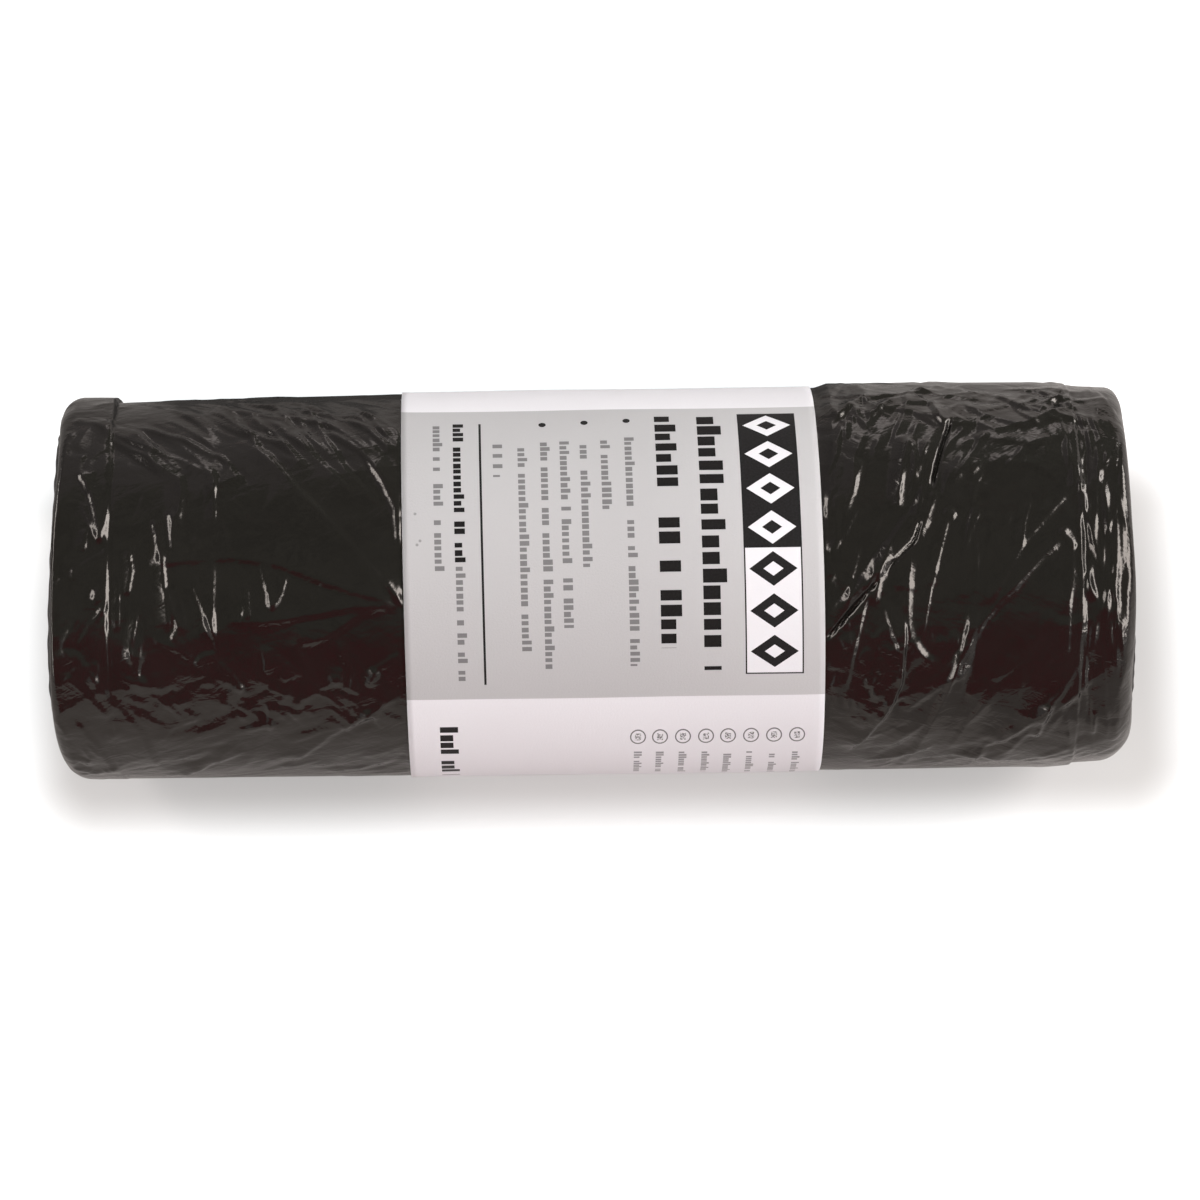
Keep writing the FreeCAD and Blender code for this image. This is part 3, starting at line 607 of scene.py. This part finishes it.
class Signal:
    """One output in a node tree. Arithmetic on it adds Math nodes, and make adds any other node."""

    def __init__(self, tree, socket):
        self.tree = tree
        self.socket = socket

    def make(self, kind, settings=None, inputs=None, out=0):
        """A node of this kind with its settings first and then the values or links of its inputs."""
        node = self.tree.nodes.new(kind)
        for name, value in (settings or {}).items():
            setattr(node, name, value)
        for key, value in (inputs or {}).items():
            if isinstance(value, Signal):
                self.tree.links.new(value.socket, node.inputs[key])
            else:
                node.inputs[key].default_value = value
        return Signal(self.tree, node.outputs[out])

    def math(self, operation, *values):
        """A Math node of this operation on this signal and the values."""
        inputs = {0: self, **{i + 1: v for i, v in enumerate(values)}}
        return self.make("ShaderNodeMath", {"operation": operation}, inputs)

    __add__ = __radd__ = math_method("ADD")
    __mul__ = __rmul__ = math_method("MULTIPLY")
    __sub__ = math_method("SUBTRACT")
    __truediv__ = math_method("DIVIDE")
    __pow__ = math_method("POWER")
    __gt__ = math_method("GREATER_THAN")
    __lt__ = math_method("LESS_THAN")
    __abs__ = math_method("ABSOLUTE")
    floor = math_method("FLOOR")
    part = math_method("FRACT")

    def __rsub__(self, other):
        return (self * -1.0) + other

    def limit(self):
        """This signal held between 0 and 1."""
        return self.make("ShaderNodeClamp", None, {0: self})

    def between(self, low, high):
        """0 below low, 1 above high, and smooth between them."""
        settings = {"interpolation_type": "SMOOTHSTEP"}
        return self.make("ShaderNodeMapRange", settings, {0: self, 1: low, 2: high})

    def within(self, starts, ends):
        """1 from the soft edge starts to the soft edge ends, and 0 outside them."""
        return self.between(*starts) * (1.0 - self.between(*ends))

    def blend(self, first, second):
        """The first colour where this signal is 0 and the second where it is 1."""
        first = (*first, 1.0) if isinstance(first, tuple) else first
        second = (*second, 1.0) if isinstance(second, tuple) else second
        settings = {"data_type": "RGBA", "clamp_factor": True}
        return self.make("ShaderNodeMix", settings, {0: self, 6: first, 7: second}, out=2)

    def times(self, colour):
        """This number times a colour, or times another signal's colour."""
        inputs = {0: colour, "Scale": self}
        return self.make("ShaderNodeVectorMath", {"operation": "SCALE"}, inputs)

    def axis(self, number):
        """One component of this vector: 0, 1 or 2 for x, y or z."""
        return self.make("ShaderNodeSeparateXYZ", None, {0: self}, out=number)


def vector_of(x, y, z):
    """A vector from three signals or numbers, the first of them a signal."""
    return x.make("ShaderNodeCombineXYZ", None, {0: x, 1: y, 2: z})


def new_material(name):
    """A new material, its shader's node, and the tree's first signal: the piece's Object coordinates."""
    material = bpy.data.materials.new(name)
    material.use_nodes = True
    tree = material.node_tree
    shader = next(n for n in tree.nodes if n.type == "BSDF_PRINCIPLED")
    place = Signal(tree, tree.nodes.new("ShaderNodeTexCoord").outputs["Object"])
    return material, shader, place


def wire(signal, node, name):
    """Links a signal to a node's input."""
    signal.tree.links.new(signal.socket, node.inputs[name])


def noise(vector, scale, detail=3.0, rough=0.5, warp=0.0):
    """Cloudy noise about 0.5, read at a vector. The scale is per unit of the vector."""
    inputs = {"Vector": vector, "Scale": scale, "Detail": detail, "Roughness": rough, "Distortion": warp}
    return vector.make("ShaderNodeTexNoise", None, inputs, out=0)


def bump(height, distance, strength=1.0, before=None):
    """The normal of a height signal that stands a distance in metres, over the normal before it."""
    inputs = {"Height": height, "Distance": distance, "Strength": strength}
    if before is not None:
        inputs["Normal"] = before
    return height.make("ShaderNodeBump", None, inputs)


def twisted(place, turn, stretch):
    """Object coordinates wound round the roll's axis by turn radians per metre and pressed along it by
    stretch, so that noise read with them makes streaks that run round the roll at a slant."""
    inputs = {"Vector": place, "Center": (0.0, 0.0, AXIS_HEIGHT * MM), "Angle": place.axis(0) * turn}
    wound = place.make("ShaderNodeVectorRotate", {"rotation_type": "X_AXIS"}, inputs)
    return wound.make("ShaderNodeMapping", None, {"Vector": wound, "Scale": (stretch, 1.0, 1.0)})


FILM_IOR = 1.54


def film_material(name, side):
    """Thin glossy film: nearly black, with streaks of haze, swells, crinkles and fine marks.

    Crinkles and marks are the distance of a noise from 0.5, which has sharp valleys."""
    film = bpy.context.scene.bag_film
    material, shader, place = new_material(name)
    streak = twisted(place, 24.0 * side, 0.16)
    cross = twisted(place, -9.0 * side, 0.5)
    haze = noise(streak, 260.0, 4.0, 0.6)
    clouds = noise(place, 70.0, 3.0)
    dark, pale = tuple(film.tint), tuple(film.haze_tint)
    wire((haze * 0.6 + clouds * 0.6 - 0.25).limit().blend(dark, pale), shader, "Base Color")
    wire(film.shine + (haze - 0.5) * 0.10 + (clouds - 0.5) * 0.06, shader, "Roughness")
    crinkle = abs(noise(cross, 420.0, 3.0, 0.55, 0.6) - 0.5)
    fine = abs(noise(streak, 700.0, 2.0, 0.5, 0.3) - 0.5)
    swell = noise(cross, 150.0, 2.0, 0.4, 0.4)
    normal = bump(swell, 0.0012, 0.5)
    normal = bump(crinkle, 0.00028, 0.6, normal)
    wire(bump(fine, 0.00010, 0.5, normal), shader, "Normal")
    shader.inputs["IOR"].default_value = FILM_IOR
    shader.inputs["Specular Tint"].default_value = (1.0, 0.92, 0.85, 1.0)
    return material


def ends_material():
    """The wound film seen edge on: greyer and less glossy than the wall, with a fine lay of layers."""
    film = bpy.context.scene.bag_film
    material, shader, place = new_material("wound_film_edges")
    across, up = place.axis(1), place.axis(2) - AXIS_HEIGHT * MM
    radius = (across * across + up * up) ** 0.5
    lay = noise(vector_of(radius * 16.0, across, up), 130.0, 4.0, 0.65)
    patch = noise(place, 160.0, 3.0)
    pale = tuple(3.2 * v for v in film.haze_tint)
    wire((lay * 0.9 + patch * 0.5 - 0.35).limit().blend(tuple(film.tint), pale), shader, "Base Color")
    wire(0.22 + (patch - 0.5) * 0.12 + lay * 0.14, shader, "Roughness")
    normal = bump(lay, 0.0006, 0.5)
    wire(bump(abs(noise(place, 520.0, 3.0, 0.6, 0.5) - 0.5), 0.0003, 0.6, normal), shader, "Normal")
    shader.inputs["IOR"].default_value = FILM_IOR
    return material


# The print on the band

# What is printed, by the photograph's pixels: a block's corners, or a line's first and last middle and how
# high it is. The rings stand in one line, each with a short bar that ends at LABEL_ENDS.
PANEL_CORNERS = ((405, 413), (826, 694))
HEADER_DARK = ((735, 414), (801, 547))
HEADER_PALE = ((745, 547), (805, 673))
TITLE_UPPER = ((706, 416), (718, 670), 25)
TITLE_LOWER = ((664, 416), (672, 648), 22)
SMALL_LINES = {
    "first": ((627, 437), (637, 666), 10), "second": ((605, 440), (607, 509), 10),
    "third": ((584, 440), (588, 567), 10), "fourth": ((563, 441), (570, 628), 10),
    "fifth": ((543, 442), (552, 670), 10), "sixth": ((521, 443), (528, 653), 10),
    "seventh": ((497, 444), (498, 477), 10), "last": ((436, 426), (441, 571), 10),
    "foot_plain": ((460, 566), (464, 684), 10),
}
BOLD_LINES = {"foot_bold": ((457, 424), (461, 563), 11), "corner": ((449, 727), (451, 775), 19)}
DOTS = {"first": (626, 421), "second": (584, 423), "third": (542, 425)}
RULE = ((479, 424), (486, 685))
RINGS = {"first": 638, "second": 660, "third": 683, "fourth": 706, "fifth": 728, "sixth": 751,
         "seventh": 774, "last": 797}
RINGS_HEIGHT = 736
RINGS_MIDDLE = 700
LABEL_ENDS = (751, 771)
SPECKS = {"one": (415, 514), "two": (417, 545), "three": (420, 541)}

# The print's own measures in millimetres. The pitch of a line's blocks is a share of its height.
MM_PER_PIXEL = 0.150
LABEL_HEIGHT = 1.25
BLOCK_PITCH = 0.66
HALF_RULE = 0.17
RING_RADIUS = 1.10
HEADER_RIM = 0.22
DIAMONDS = 4


def on_paper(pixel):
    """A pixel's place on the paper in millimetres: from its left edge, and round from the view line."""
    x, theta = seen_at(pixel, BAND_RADIUS)
    return x - BAND_EDGES[0] - float(band_lean(theta)), theta * BAND_RADIUS


def on_line(first, last):
    """A printed line's middle from the paper's edge, and where it begins and ends round the roll."""
    (a, top), (b, foot) = on_paper(first), on_paper(last)
    return (a + b) / 2, top, foot


def paper_material():
    """Uncoated paper: white, a grey panel, and generic print in dark ink: rows of small blocks, dots,
    rings, a rule and a header of diamonds.

    A printed line is cut into cells along its run. White noise read at the cell's number sets each
    block's size, or leaves it out. A diamond is where |run| + 0.72 |side| is less than its size."""
    band = bpy.context.scene.bag_band
    material, shader, place = new_material("printed_paper")
    sheet = place.make("ShaderNodeUVMap", {"uv_map": "paper_mm"})
    across = sheet.axis(0) * 1000.0
    round_it = sheet.axis(1) * 1000.0
    mottle = noise(vector_of(across, round_it, 0.0), 3.2, 3.0, 0.6)
    wobble = (mottle - 0.5) * 0.06

    def block(low_a, high_a, low_s, high_s):
        return (across > low_a) * (across < high_a) * (round_it > low_s) * (round_it < high_s)

    def spot(pixel, square):
        a, s = on_paper(pixel)
        return ((across - a) ** 2 + (round_it - s) ** 2) < square

    panel_top, panel_foot = (on_paper(p)[1] for p in PANEL_CORNERS)
    panel = (round_it > panel_foot) * (round_it < panel_top)
    paper = tuple(band.paper_tint)
    grey = tuple(band.panel_tint)
    # The panel is painted 9 per cent lighter towards the band's right side: painted light from the right.
    grey = across.between(30.0, 60.0).blend(grey, tuple(v * 1.09 for v in grey))
    colour = panel.blend(paper, grey)

    rows = [(*row, 0.0) for row in SMALL_LINES.values()]
    rows += [(*row, 1.0) for row in (*BOLD_LINES.values(), TITLE_UPPER, TITLE_LOWER)]
    lines = [(on_line(first, last), height * MM_PER_PIXEL, weight) for first, last, height, weight in rows]
    ring_s = on_paper((RINGS_MIDDLE, RINGS_HEIGHT))[1]
    ring_middles = [on_paper((pixel, RINGS_HEIGHT))[0] for pixel in RINGS.values()]
    for pixel, centre in zip(RINGS.values(), ring_middles):
        top, foot = (on_paper((pixel, end))[1] for end in LABEL_ENDS)
        lines.append(((centre, top, foot), LABEL_HEIGHT, 0.0))
    sums = None
    for number, ((middle, top, foot), height, weight) in enumerate(lines):
        here = block(middle - height * 0.72, middle + height * 0.72, foot, top)
        terms = ((top - round_it) * (1.0 / height) * here, (across - middle) * (1.0 / height) * here,
                 here * (7.0 * number + 3.0), here * weight, here)
        sums = terms if sums is None else [total + term for total, term in zip(sums, terms)]
    run, lift, seed, bold, written = sums
    cell = (run * (1.0 / BLOCK_PITCH)).floor()
    inside = (run * (1.0 / BLOCK_PITCH)).part()
    inputs = {"Vector": vector_of(cell, seed, 0.0)}
    draws = cell.make("ShaderNodeTexWhiteNoise", {"noise_dimensions": "2D"}, inputs, out=1)
    one, two, three = (draws.axis(n) for n in range(3))
    head = (two > 0.70) * 0.27 + 0.21
    body = (lift > -0.47) * (lift < head) * (inside > 0.11 - bold * 0.03) * (inside < 0.72 + three * 0.2)
    marks = body * (one > 0.15) * written * (0.62 + bold * 0.38)

    for pixel in DOTS.values():
        marks = marks + spot(pixel, 0.30)
    a, top, foot = on_line(*RULE)
    marks = marks + block(a - HALF_RULE, a + HALF_RULE, foot, top)
    rings = None
    for centre in ring_middles:
        away = (((across - centre) ** 2) + ((round_it - ring_s) * 0.66) ** 2) ** 0.5
        line = abs(away - RING_RADIUS) < 0.10
        heart = (abs(across - centre) < 0.45) * (abs(round_it - ring_s) < 0.85) * (mottle > 0.5)
        rings = line + heart if rings is None else rings + line + heart
    marks = marks + rings * 0.8
    for pixel in SPECKS.values():
        marks = marks + spot(pixel, 0.05) * 0.4

    (a0, s1), (a1, s0) = (on_paper(p) for p in HEADER_DARK)
    (b0, _), (b1, t0) = (on_paper(p) for p in HEADER_PALE)
    left, right = (a0 + b0) / 2, (a1 + b1) / 2
    dark_field = block(left, right, s0, s1)
    pale_field = block(left, right, t0, s0)
    pale_inner = block(left + HEADER_RIM, right - HEADER_RIM, t0 + HEADER_RIM, s0)
    tile = (right - left) * 0.62
    middle = (left + right) / 2
    step = ((round_it - s0) * (1.0 / ((s1 - s0) / DIAMONDS))).part() - 0.5
    slant = abs(step) * (s1 - s0) / DIAMONDS + abs(across - middle) * 0.72
    pattern = (slant < tile * 0.48) - (slant < tile * 0.20)
    header_ink = dark_field * (1.0 - pattern) + pale_field * (1.0 - pale_inner) + pale_inner * pattern
    header = dark_field + pale_field
    colour = header.blend(colour, paper)
    ink = ((marks.limit() * (1.0 - header)) + header_ink).limit()
    ink = ink * (0.985 + wobble * 0.4)
    colour = ink.blend(colour, tuple(band.ink_tint))

    fibre = noise(vector_of(across, round_it * 0.6, 0.0), 9.0, 4.0, 0.7)
    tone = 0.965 + mottle * 0.05 + (fibre - 0.5) * 0.03
    wire(tone.times(colour), shader, "Base Color")
    wire(0.62 + (fibre - 0.5) * 0.2 - ink * 0.18, shader, "Roughness")
    wire(bump(fibre, 0.00004, 0.6, bump(mottle, 0.0001, 0.4)), shader, "Normal")
    shader.inputs["IOR"].default_value = 1.45
    shader.inputs["Specular IOR Level"].default_value = 0.12
    return material


# The stage

# Where the light's zones begin and end, each over a soft edge. Heights are in degrees from the front
# horizon over the top to the back one. Distances aside are in degrees from the plane across the roll, and
# for the panel they are the direction's x.
CEILING_FROM = (38.5, 47.0)
FRONT_TO = (26.0, 32.0)
WALL_FROM = (144.0, 155.0)
BOX_HEIGHTS = ((14.0, 22.0), (156.0, 170.0))
SOFT_BOX = ((35.0, 41.0), (55.0, 60.0))
CORE_BOX = ((40.5, 45.0), (50.5, 54.0))
RIGHT_BOX_WIDER = 8.0
PANEL_ASIDE = ((0.060, 0.070), (0.086, 0.096))
PANEL_HEIGHTS = ((112.0, 117.0), (121.0, 125.0))
# The floor's zones, in metres from the middle of the roll, and its size.
FLOOR_SIDE = 4.0
# BEHIND_FROM, CLOSE_TO and CLOSE_ASIDE_TO bound the painted shade on the floor behind the roll.
BEHIND_FROM = (0.018, 0.026)
CLOSE_TO = (0.065, 0.13)
CLOSE_ASIDE_TO = (0.066, 0.078)
RIGHT_FROM = (0.032, 0.052)
AHEAD_FROM = (0.085, 0.115)
# The footprint from which the floor's fill grows, set 3 mm to the right: it places the painted shadow round
# the roll.
ROLL_MIDDLE = 0.0030
ROLL_HALF_SIZES = (0.0800, 0.0205)


def studio_world():
    """Plain studio light by direction: a grey-green ceiling, a dim red front with brown patches and grey
    sides, a bright back wall that is brighter and begins later on the right, a small dark red panel above
    the wall, a brown ground, and a tall narrow light box on each side, of which the right one is wider.
    The camera itself sees white."""
    studio = bpy.context.scene.bag_studio
    world = bpy.data.worlds.new("studio")
    bpy.context.scene.world = world
    world.use_nodes = True
    tree = world.node_tree
    back = next(n for n in tree.nodes if n.type == "BACKGROUND")
    way = Signal(tree, tree.nodes.new("ShaderNodeTexCoord").outputs["Generated"])
    x, y, z = way.axis(0), way.axis(1), way.axis(2)
    degrees = 180.0 / math.pi
    rise = z.math("ARCTAN2", y * -1.0) * degrees
    aside = abs(x).math("ARCSINE") * degrees
    ceiling = (noise(way, 8.0, 2.0) * 2.0).times(tuple(studio.ceiling_light))
    front = noise(way, 13.0, 2.0).between(0.42, 0.60).blend(tuple(studio.front_light), (0.17, 0.11, 0.09))
    front = aside.between(*FRONT_TO).blend(front, (0.46, 0.45, 0.46))
    colour = rise.between(*CEILING_FROM).blend(front, ceiling)
    panel = x.within(*PANEL_ASIDE) * rise.within(*PANEL_HEIGHTS)
    colour = (panel * 0.8).blend(colour, (0.20, 0.035, 0.045))
    bright = (x.between(-0.06, 0.05) * 1.9 + 0.45) * (1.0 - aside.between(12.0, 30.0) * 0.3)
    late = x * 110.0 + (x > 0.0) * x * 120.0
    colour = (rise - late).between(*WALL_FROM).blend(colour, bright.times((0.80, 0.76, 0.76)))
    ground = x.between(0.0, 0.1).blend((0.62, 0.58, 0.56), (0.47, 0.42, 0.41))
    colour = (z * -1.0).between(0.0, 0.02).blend(colour, ground)
    tall = rise.within(*BOX_HEIGHTS) * (x.between(-0.1, 0.1) * 0.25 + 0.75)
    far = aside - (x > 0.0) * RIGHT_BOX_WIDER
    soft, core = (aside.between(*edge) * (1.0 - far.between(*end)) for edge, end in (SOFT_BOX, CORE_BOX))
    glow = studio.box_light
    boxes = (soft * 0.15 + core * 0.85) * tall
    colour = boxes.blend(colour, (glow, glow * 0.98, glow * 0.97))
    camera = way.make("ShaderNodeLightPath")
    wire(camera.blend(colour, (1.0, 1.0, 1.0)), back, "Color")
    back.inputs["Strength"].default_value = 1.0


def studio_floor():
    """A floor the camera sees as white: its fill is lowest next to the roll, which paints shadow there
    besides the real one.

    Its colour is what the film reflects: dim behind the left part of the roll and dark in a strip just
    behind it, both painted shade of the roll, and a little dimmer far ahead on the right."""
    studio = bpy.context.scene.bag_studio
    mesh = bpy.data.meshes.new("floor")
    corners = [(-FLOOR_SIDE, -FLOOR_SIDE, 0), (FLOOR_SIDE, -FLOOR_SIDE, 0), (FLOOR_SIDE, FLOOR_SIDE, 0),
               (-FLOOR_SIDE, FLOOR_SIDE, 0)]
    mesh.from_pydata(corners, [], [(0, 1, 2, 3)])
    floor = bpy.data.objects.new("floor", mesh)
    bpy.context.scene.collection.objects.link(floor)
    material, shader, place = new_material("white_floor")
    mesh.materials.append(material)
    x, depth = place.axis(0), place.axis(1)
    # Painted shade: the floor behind the roll is dim, and dark in a strip just behind it, where the roll's
    # shadow falls; the film reflects it at its top edge.
    behind = depth.between(*BEHIND_FROM)
    right = x.between(*RIGHT_FROM)
    painted_contact_shade = behind * (1.0 - depth.between(*CLOSE_TO)) * (1.0 - abs(x).between(*CLOSE_ASIDE_TO))
    painted_contact_shade = painted_contact_shade * (1.0 - right * 0.75)
    behind = behind * (1.0 - right)
    ahead = (depth * -1.0).between(*AHEAD_FROM) * x.between(0.0, 0.06)
    low, dim, dark = (tuple(v * share for v in studio.floor_tint) for share in (0.66, 0.62, 0.12))
    tint = ahead.blend(tuple(studio.floor_tint), low)
    wire(painted_contact_shade.blend(behind.blend(tint, dim), dark), shader, "Base Color")
    shader.inputs["Roughness"].default_value = 0.7
    shader.inputs["Specular IOR Level"].default_value = 0.2
    camera = place.make("ShaderNodeLightPath")
    half_length, half_depth = ROLL_HALF_SIZES
    # The fill is lowest within 3 mm of the footprint and full past 16 mm: painted shadow round the roll,
    # added to the rendered one.
    out_x = (abs(x - ROLL_MIDDLE) - half_length).math("MAXIMUM", 0.0)
    out_y = (abs(depth) - half_depth).math("MAXIMUM", 0.0)
    away = (out_x ** 2 + out_y ** 2) ** 0.5
    # The camera-only fill is raised where the painted contact shade lies, so that only the film sees that
    # shade.
    fill = studio.floor_fill + away.between(0.003, 0.016) * 0.66 + painted_contact_shade * 0.14
    wire((camera * fill).blend((0.0, 0.0, 0.0), (0.965, 1.0, 1.015)), shader, "Emission Color")
    shader.inputs["Emission Strength"].default_value = 1.0


def studio_camera():
    """The camera at the photograph's angle, with its roll, and a shift for where the roll lies."""
    studio = bpy.context.scene.bag_studio
    data = bpy.data.cameras.new("camera")
    camera = bpy.data.objects.new("camera", data)
    bpy.context.scene.collection.objects.link(camera)
    bpy.context.scene.camera = camera
    data.sensor_width = SENSOR_WIDTH
    data.lens = studio.lens
    data.shift_x = (IMAGE / 2 - ROLL_SHOWS_AT[0]) / IMAGE
    data.shift_y = (ROLL_SHOWS_AT[1] - IMAGE / 2) / IMAGE
    data.clip_start, data.clip_end = 0.05, 20.0
    back = Vector((0.0, -math.cos(VIEW_ELEVATION), math.sin(VIEW_ELEVATION)))
    level_up = Vector((0.0, math.sin(VIEW_ELEVATION), math.cos(VIEW_ELEVATION)))
    level_right = Vector((1.0, 0.0, 0.0))
    right = level_right * math.cos(VIEW_ROLL) - level_up * math.sin(VIEW_ROLL)
    up = level_right * math.sin(VIEW_ROLL) + level_up * math.cos(VIEW_ROLL)
    turn = Matrix((right, up, back)).transposed().to_4x4()
    middle = Vector((0.0, 0.0, AXIS_HEIGHT * MM))
    camera.matrix_world = Matrix.Translation(middle + back * VIEW_DISTANCE * MM) @ turn


# Settings, operators and panel

def colour_of(part, default):
    """A colour that a user may change."""
    return FloatVectorProperty(name=part, description="Colour of the " + part.lower(), subtype="COLOR",
                               default=default)


class FilmSettings(bpy.types.PropertyGroup):
    """What a user may change on the film and the wound ends."""

    tint: colour_of("Film", (0.0062, 0.0056, 0.0053))
    haze_tint: colour_of("Haze", (0.0115, 0.0102, 0.0098))
    shine: FloatProperty(name="Roughness", description="Roughness of the film", default=0.13, min=0.02,
                         max=1.0)
    crease_height: FloatProperty(name="Crease height", description="Height against the measured creases",
                                 subtype="FACTOR", default=1.0, min=0.0, max=2.0)
    crease_seed: IntProperty(name="Crease seed", description="Start of the random creases", default=7)
    turns: IntProperty(name="Turns", description="Turns that show on each end", default=17, min=4, max=40)
    turn_depth: FloatProperty(name="Turn depth", description="Millimetres between two turns", default=0.8)


class BandSettings(bpy.types.PropertyGroup):
    """What a user may change on the paper band."""

    paper_tint: colour_of("Paper", (0.800, 0.786, 0.824))
    panel_tint: colour_of("Panel", (0.495, 0.486, 0.498))
    ink_tint: colour_of("Ink", (0.006, 0.005, 0.005))


class StudioSettings(bpy.types.PropertyGroup):
    """What a user may change on the stage."""

    lens: FloatProperty(name="Lens", description="Focal length in millimetres",
                        default=LENS_PIXELS / IMAGE * SENSOR_WIDTH)
    floor_tint: colour_of("Floor", (0.50, 0.475, 0.465))
    floor_fill: FloatProperty(name="Floor fill", description="Paleness close to the roll", default=0.25)
    box_light: FloatProperty(name="Light boxes", description="Strength of both light boxes", default=9.2)
    front_light: colour_of("Light from the front", (0.36, 0.040, 0.060))
    ceiling_light: colour_of("Light from above", (0.225, 0.232, 0.195))


class BAGROLL_OT_film(bpy.types.Operator):
    """Build the creased film walls on both sides of the band"""

    bl_idname = "bagroll.film"
    bl_label = "Film walls"

    def execute(self, context):
        for side, name in ((-1, "film_left"), (1, "film_right")):
            material = film_material("black_film_" + ("left" if side < 0 else "right"), side)
            piece = grid_mesh(name, film_wall(side, *WALL_GRID), material, flip=side < 0)
            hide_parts("bag_roll")
        return {"FINISHED"}


class BAGROLL_OT_ends(bpy.types.Operator):
    """Build the wound ends and the collapsed winding hole"""

    bl_idname = "bagroll.ends"
    bl_label = "Wound ends"

    def execute(self, context):
        material = ends_material()
        for side, name in ((-1, "wound_end_left"), (1, "wound_end_right")):
            rim = film_wall(side, *WALL_GRID)[-1]
            piece = grid_mesh(name, wound_end(side, rim, END_ROWS), material, flip=side < 0)
            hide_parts("bag_roll")
        return {"FINISHED"}


class BAGROLL_OT_band(bpy.types.Operator):
    """Build the printed paper band with its glued lap"""

    bl_idname = "bagroll.band"
    bl_label = "Paper band"

    def execute(self, context):
        vertices, quads, sheet = paper_band(*BAND_GRID)
        piece = finish_mesh("band", vertices, quads, paper_material(), uv=sheet)
        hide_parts("paper_band")
        return {"FINISHED"}


class BAGROLL_OT_studio(bpy.types.Operator):
    """Set up the floor, the light and the camera"""

    bl_idname = "bagroll.studio"
    bl_label = "Studio"

    def execute(self, context):
        context.scene.view_settings.view_transform = "Standard"
        studio_world()
        studio_floor()
        studio_camera()
        return {"FINISHED"}


class BAGROLL_PT_panel(bpy.types.Panel):
    """Lists the roll's settings and the operators that build it."""

    bl_label = "Bag roll"
    bl_idname = "BAGROLL_PT_panel"
    bl_space_type = "VIEW_3D"
    bl_region_type = "UI"
    bl_category = "Bag roll"

    def draw(self, context):
        scene = context.scene
        for group, operator in ((scene.bag_film, "bagroll.film"), (scene.bag_film, "bagroll.ends"),
                                (scene.bag_band, "bagroll.band"), (scene.bag_studio, "bagroll.studio")):
            box = self.layout.box()
            for name in group.__annotations__:
                box.prop(group, name)
            box.operator(operator)


CLASSES = (FilmSettings, BandSettings, StudioSettings, BAGROLL_OT_film, BAGROLL_OT_ends, BAGROLL_OT_band,
           BAGROLL_OT_studio, BAGROLL_PT_panel)


def register():
    """Adds the classes and the settings to Blender."""
    for each in CLASSES:
        bpy.utils.register_class(each)
    bpy.types.Scene.bag_film = PointerProperty(type=FilmSettings)
    bpy.types.Scene.bag_band = PointerProperty(type=BandSettings)
    bpy.types.Scene.bag_studio = PointerProperty(type=StudioSettings)


def unregister():
    """Removes them again."""
    del bpy.types.Scene.bag_studio, bpy.types.Scene.bag_band, bpy.types.Scene.bag_film
    for each in reversed(CLASSES):
        bpy.utils.unregister_class(each)


def main():
    register()
    bpy.ops.bagroll.film()
    bpy.ops.bagroll.ends()
    bpy.ops.bagroll.band()
    bpy.ops.bagroll.studio()


if __name__ == "__main__":
    main()
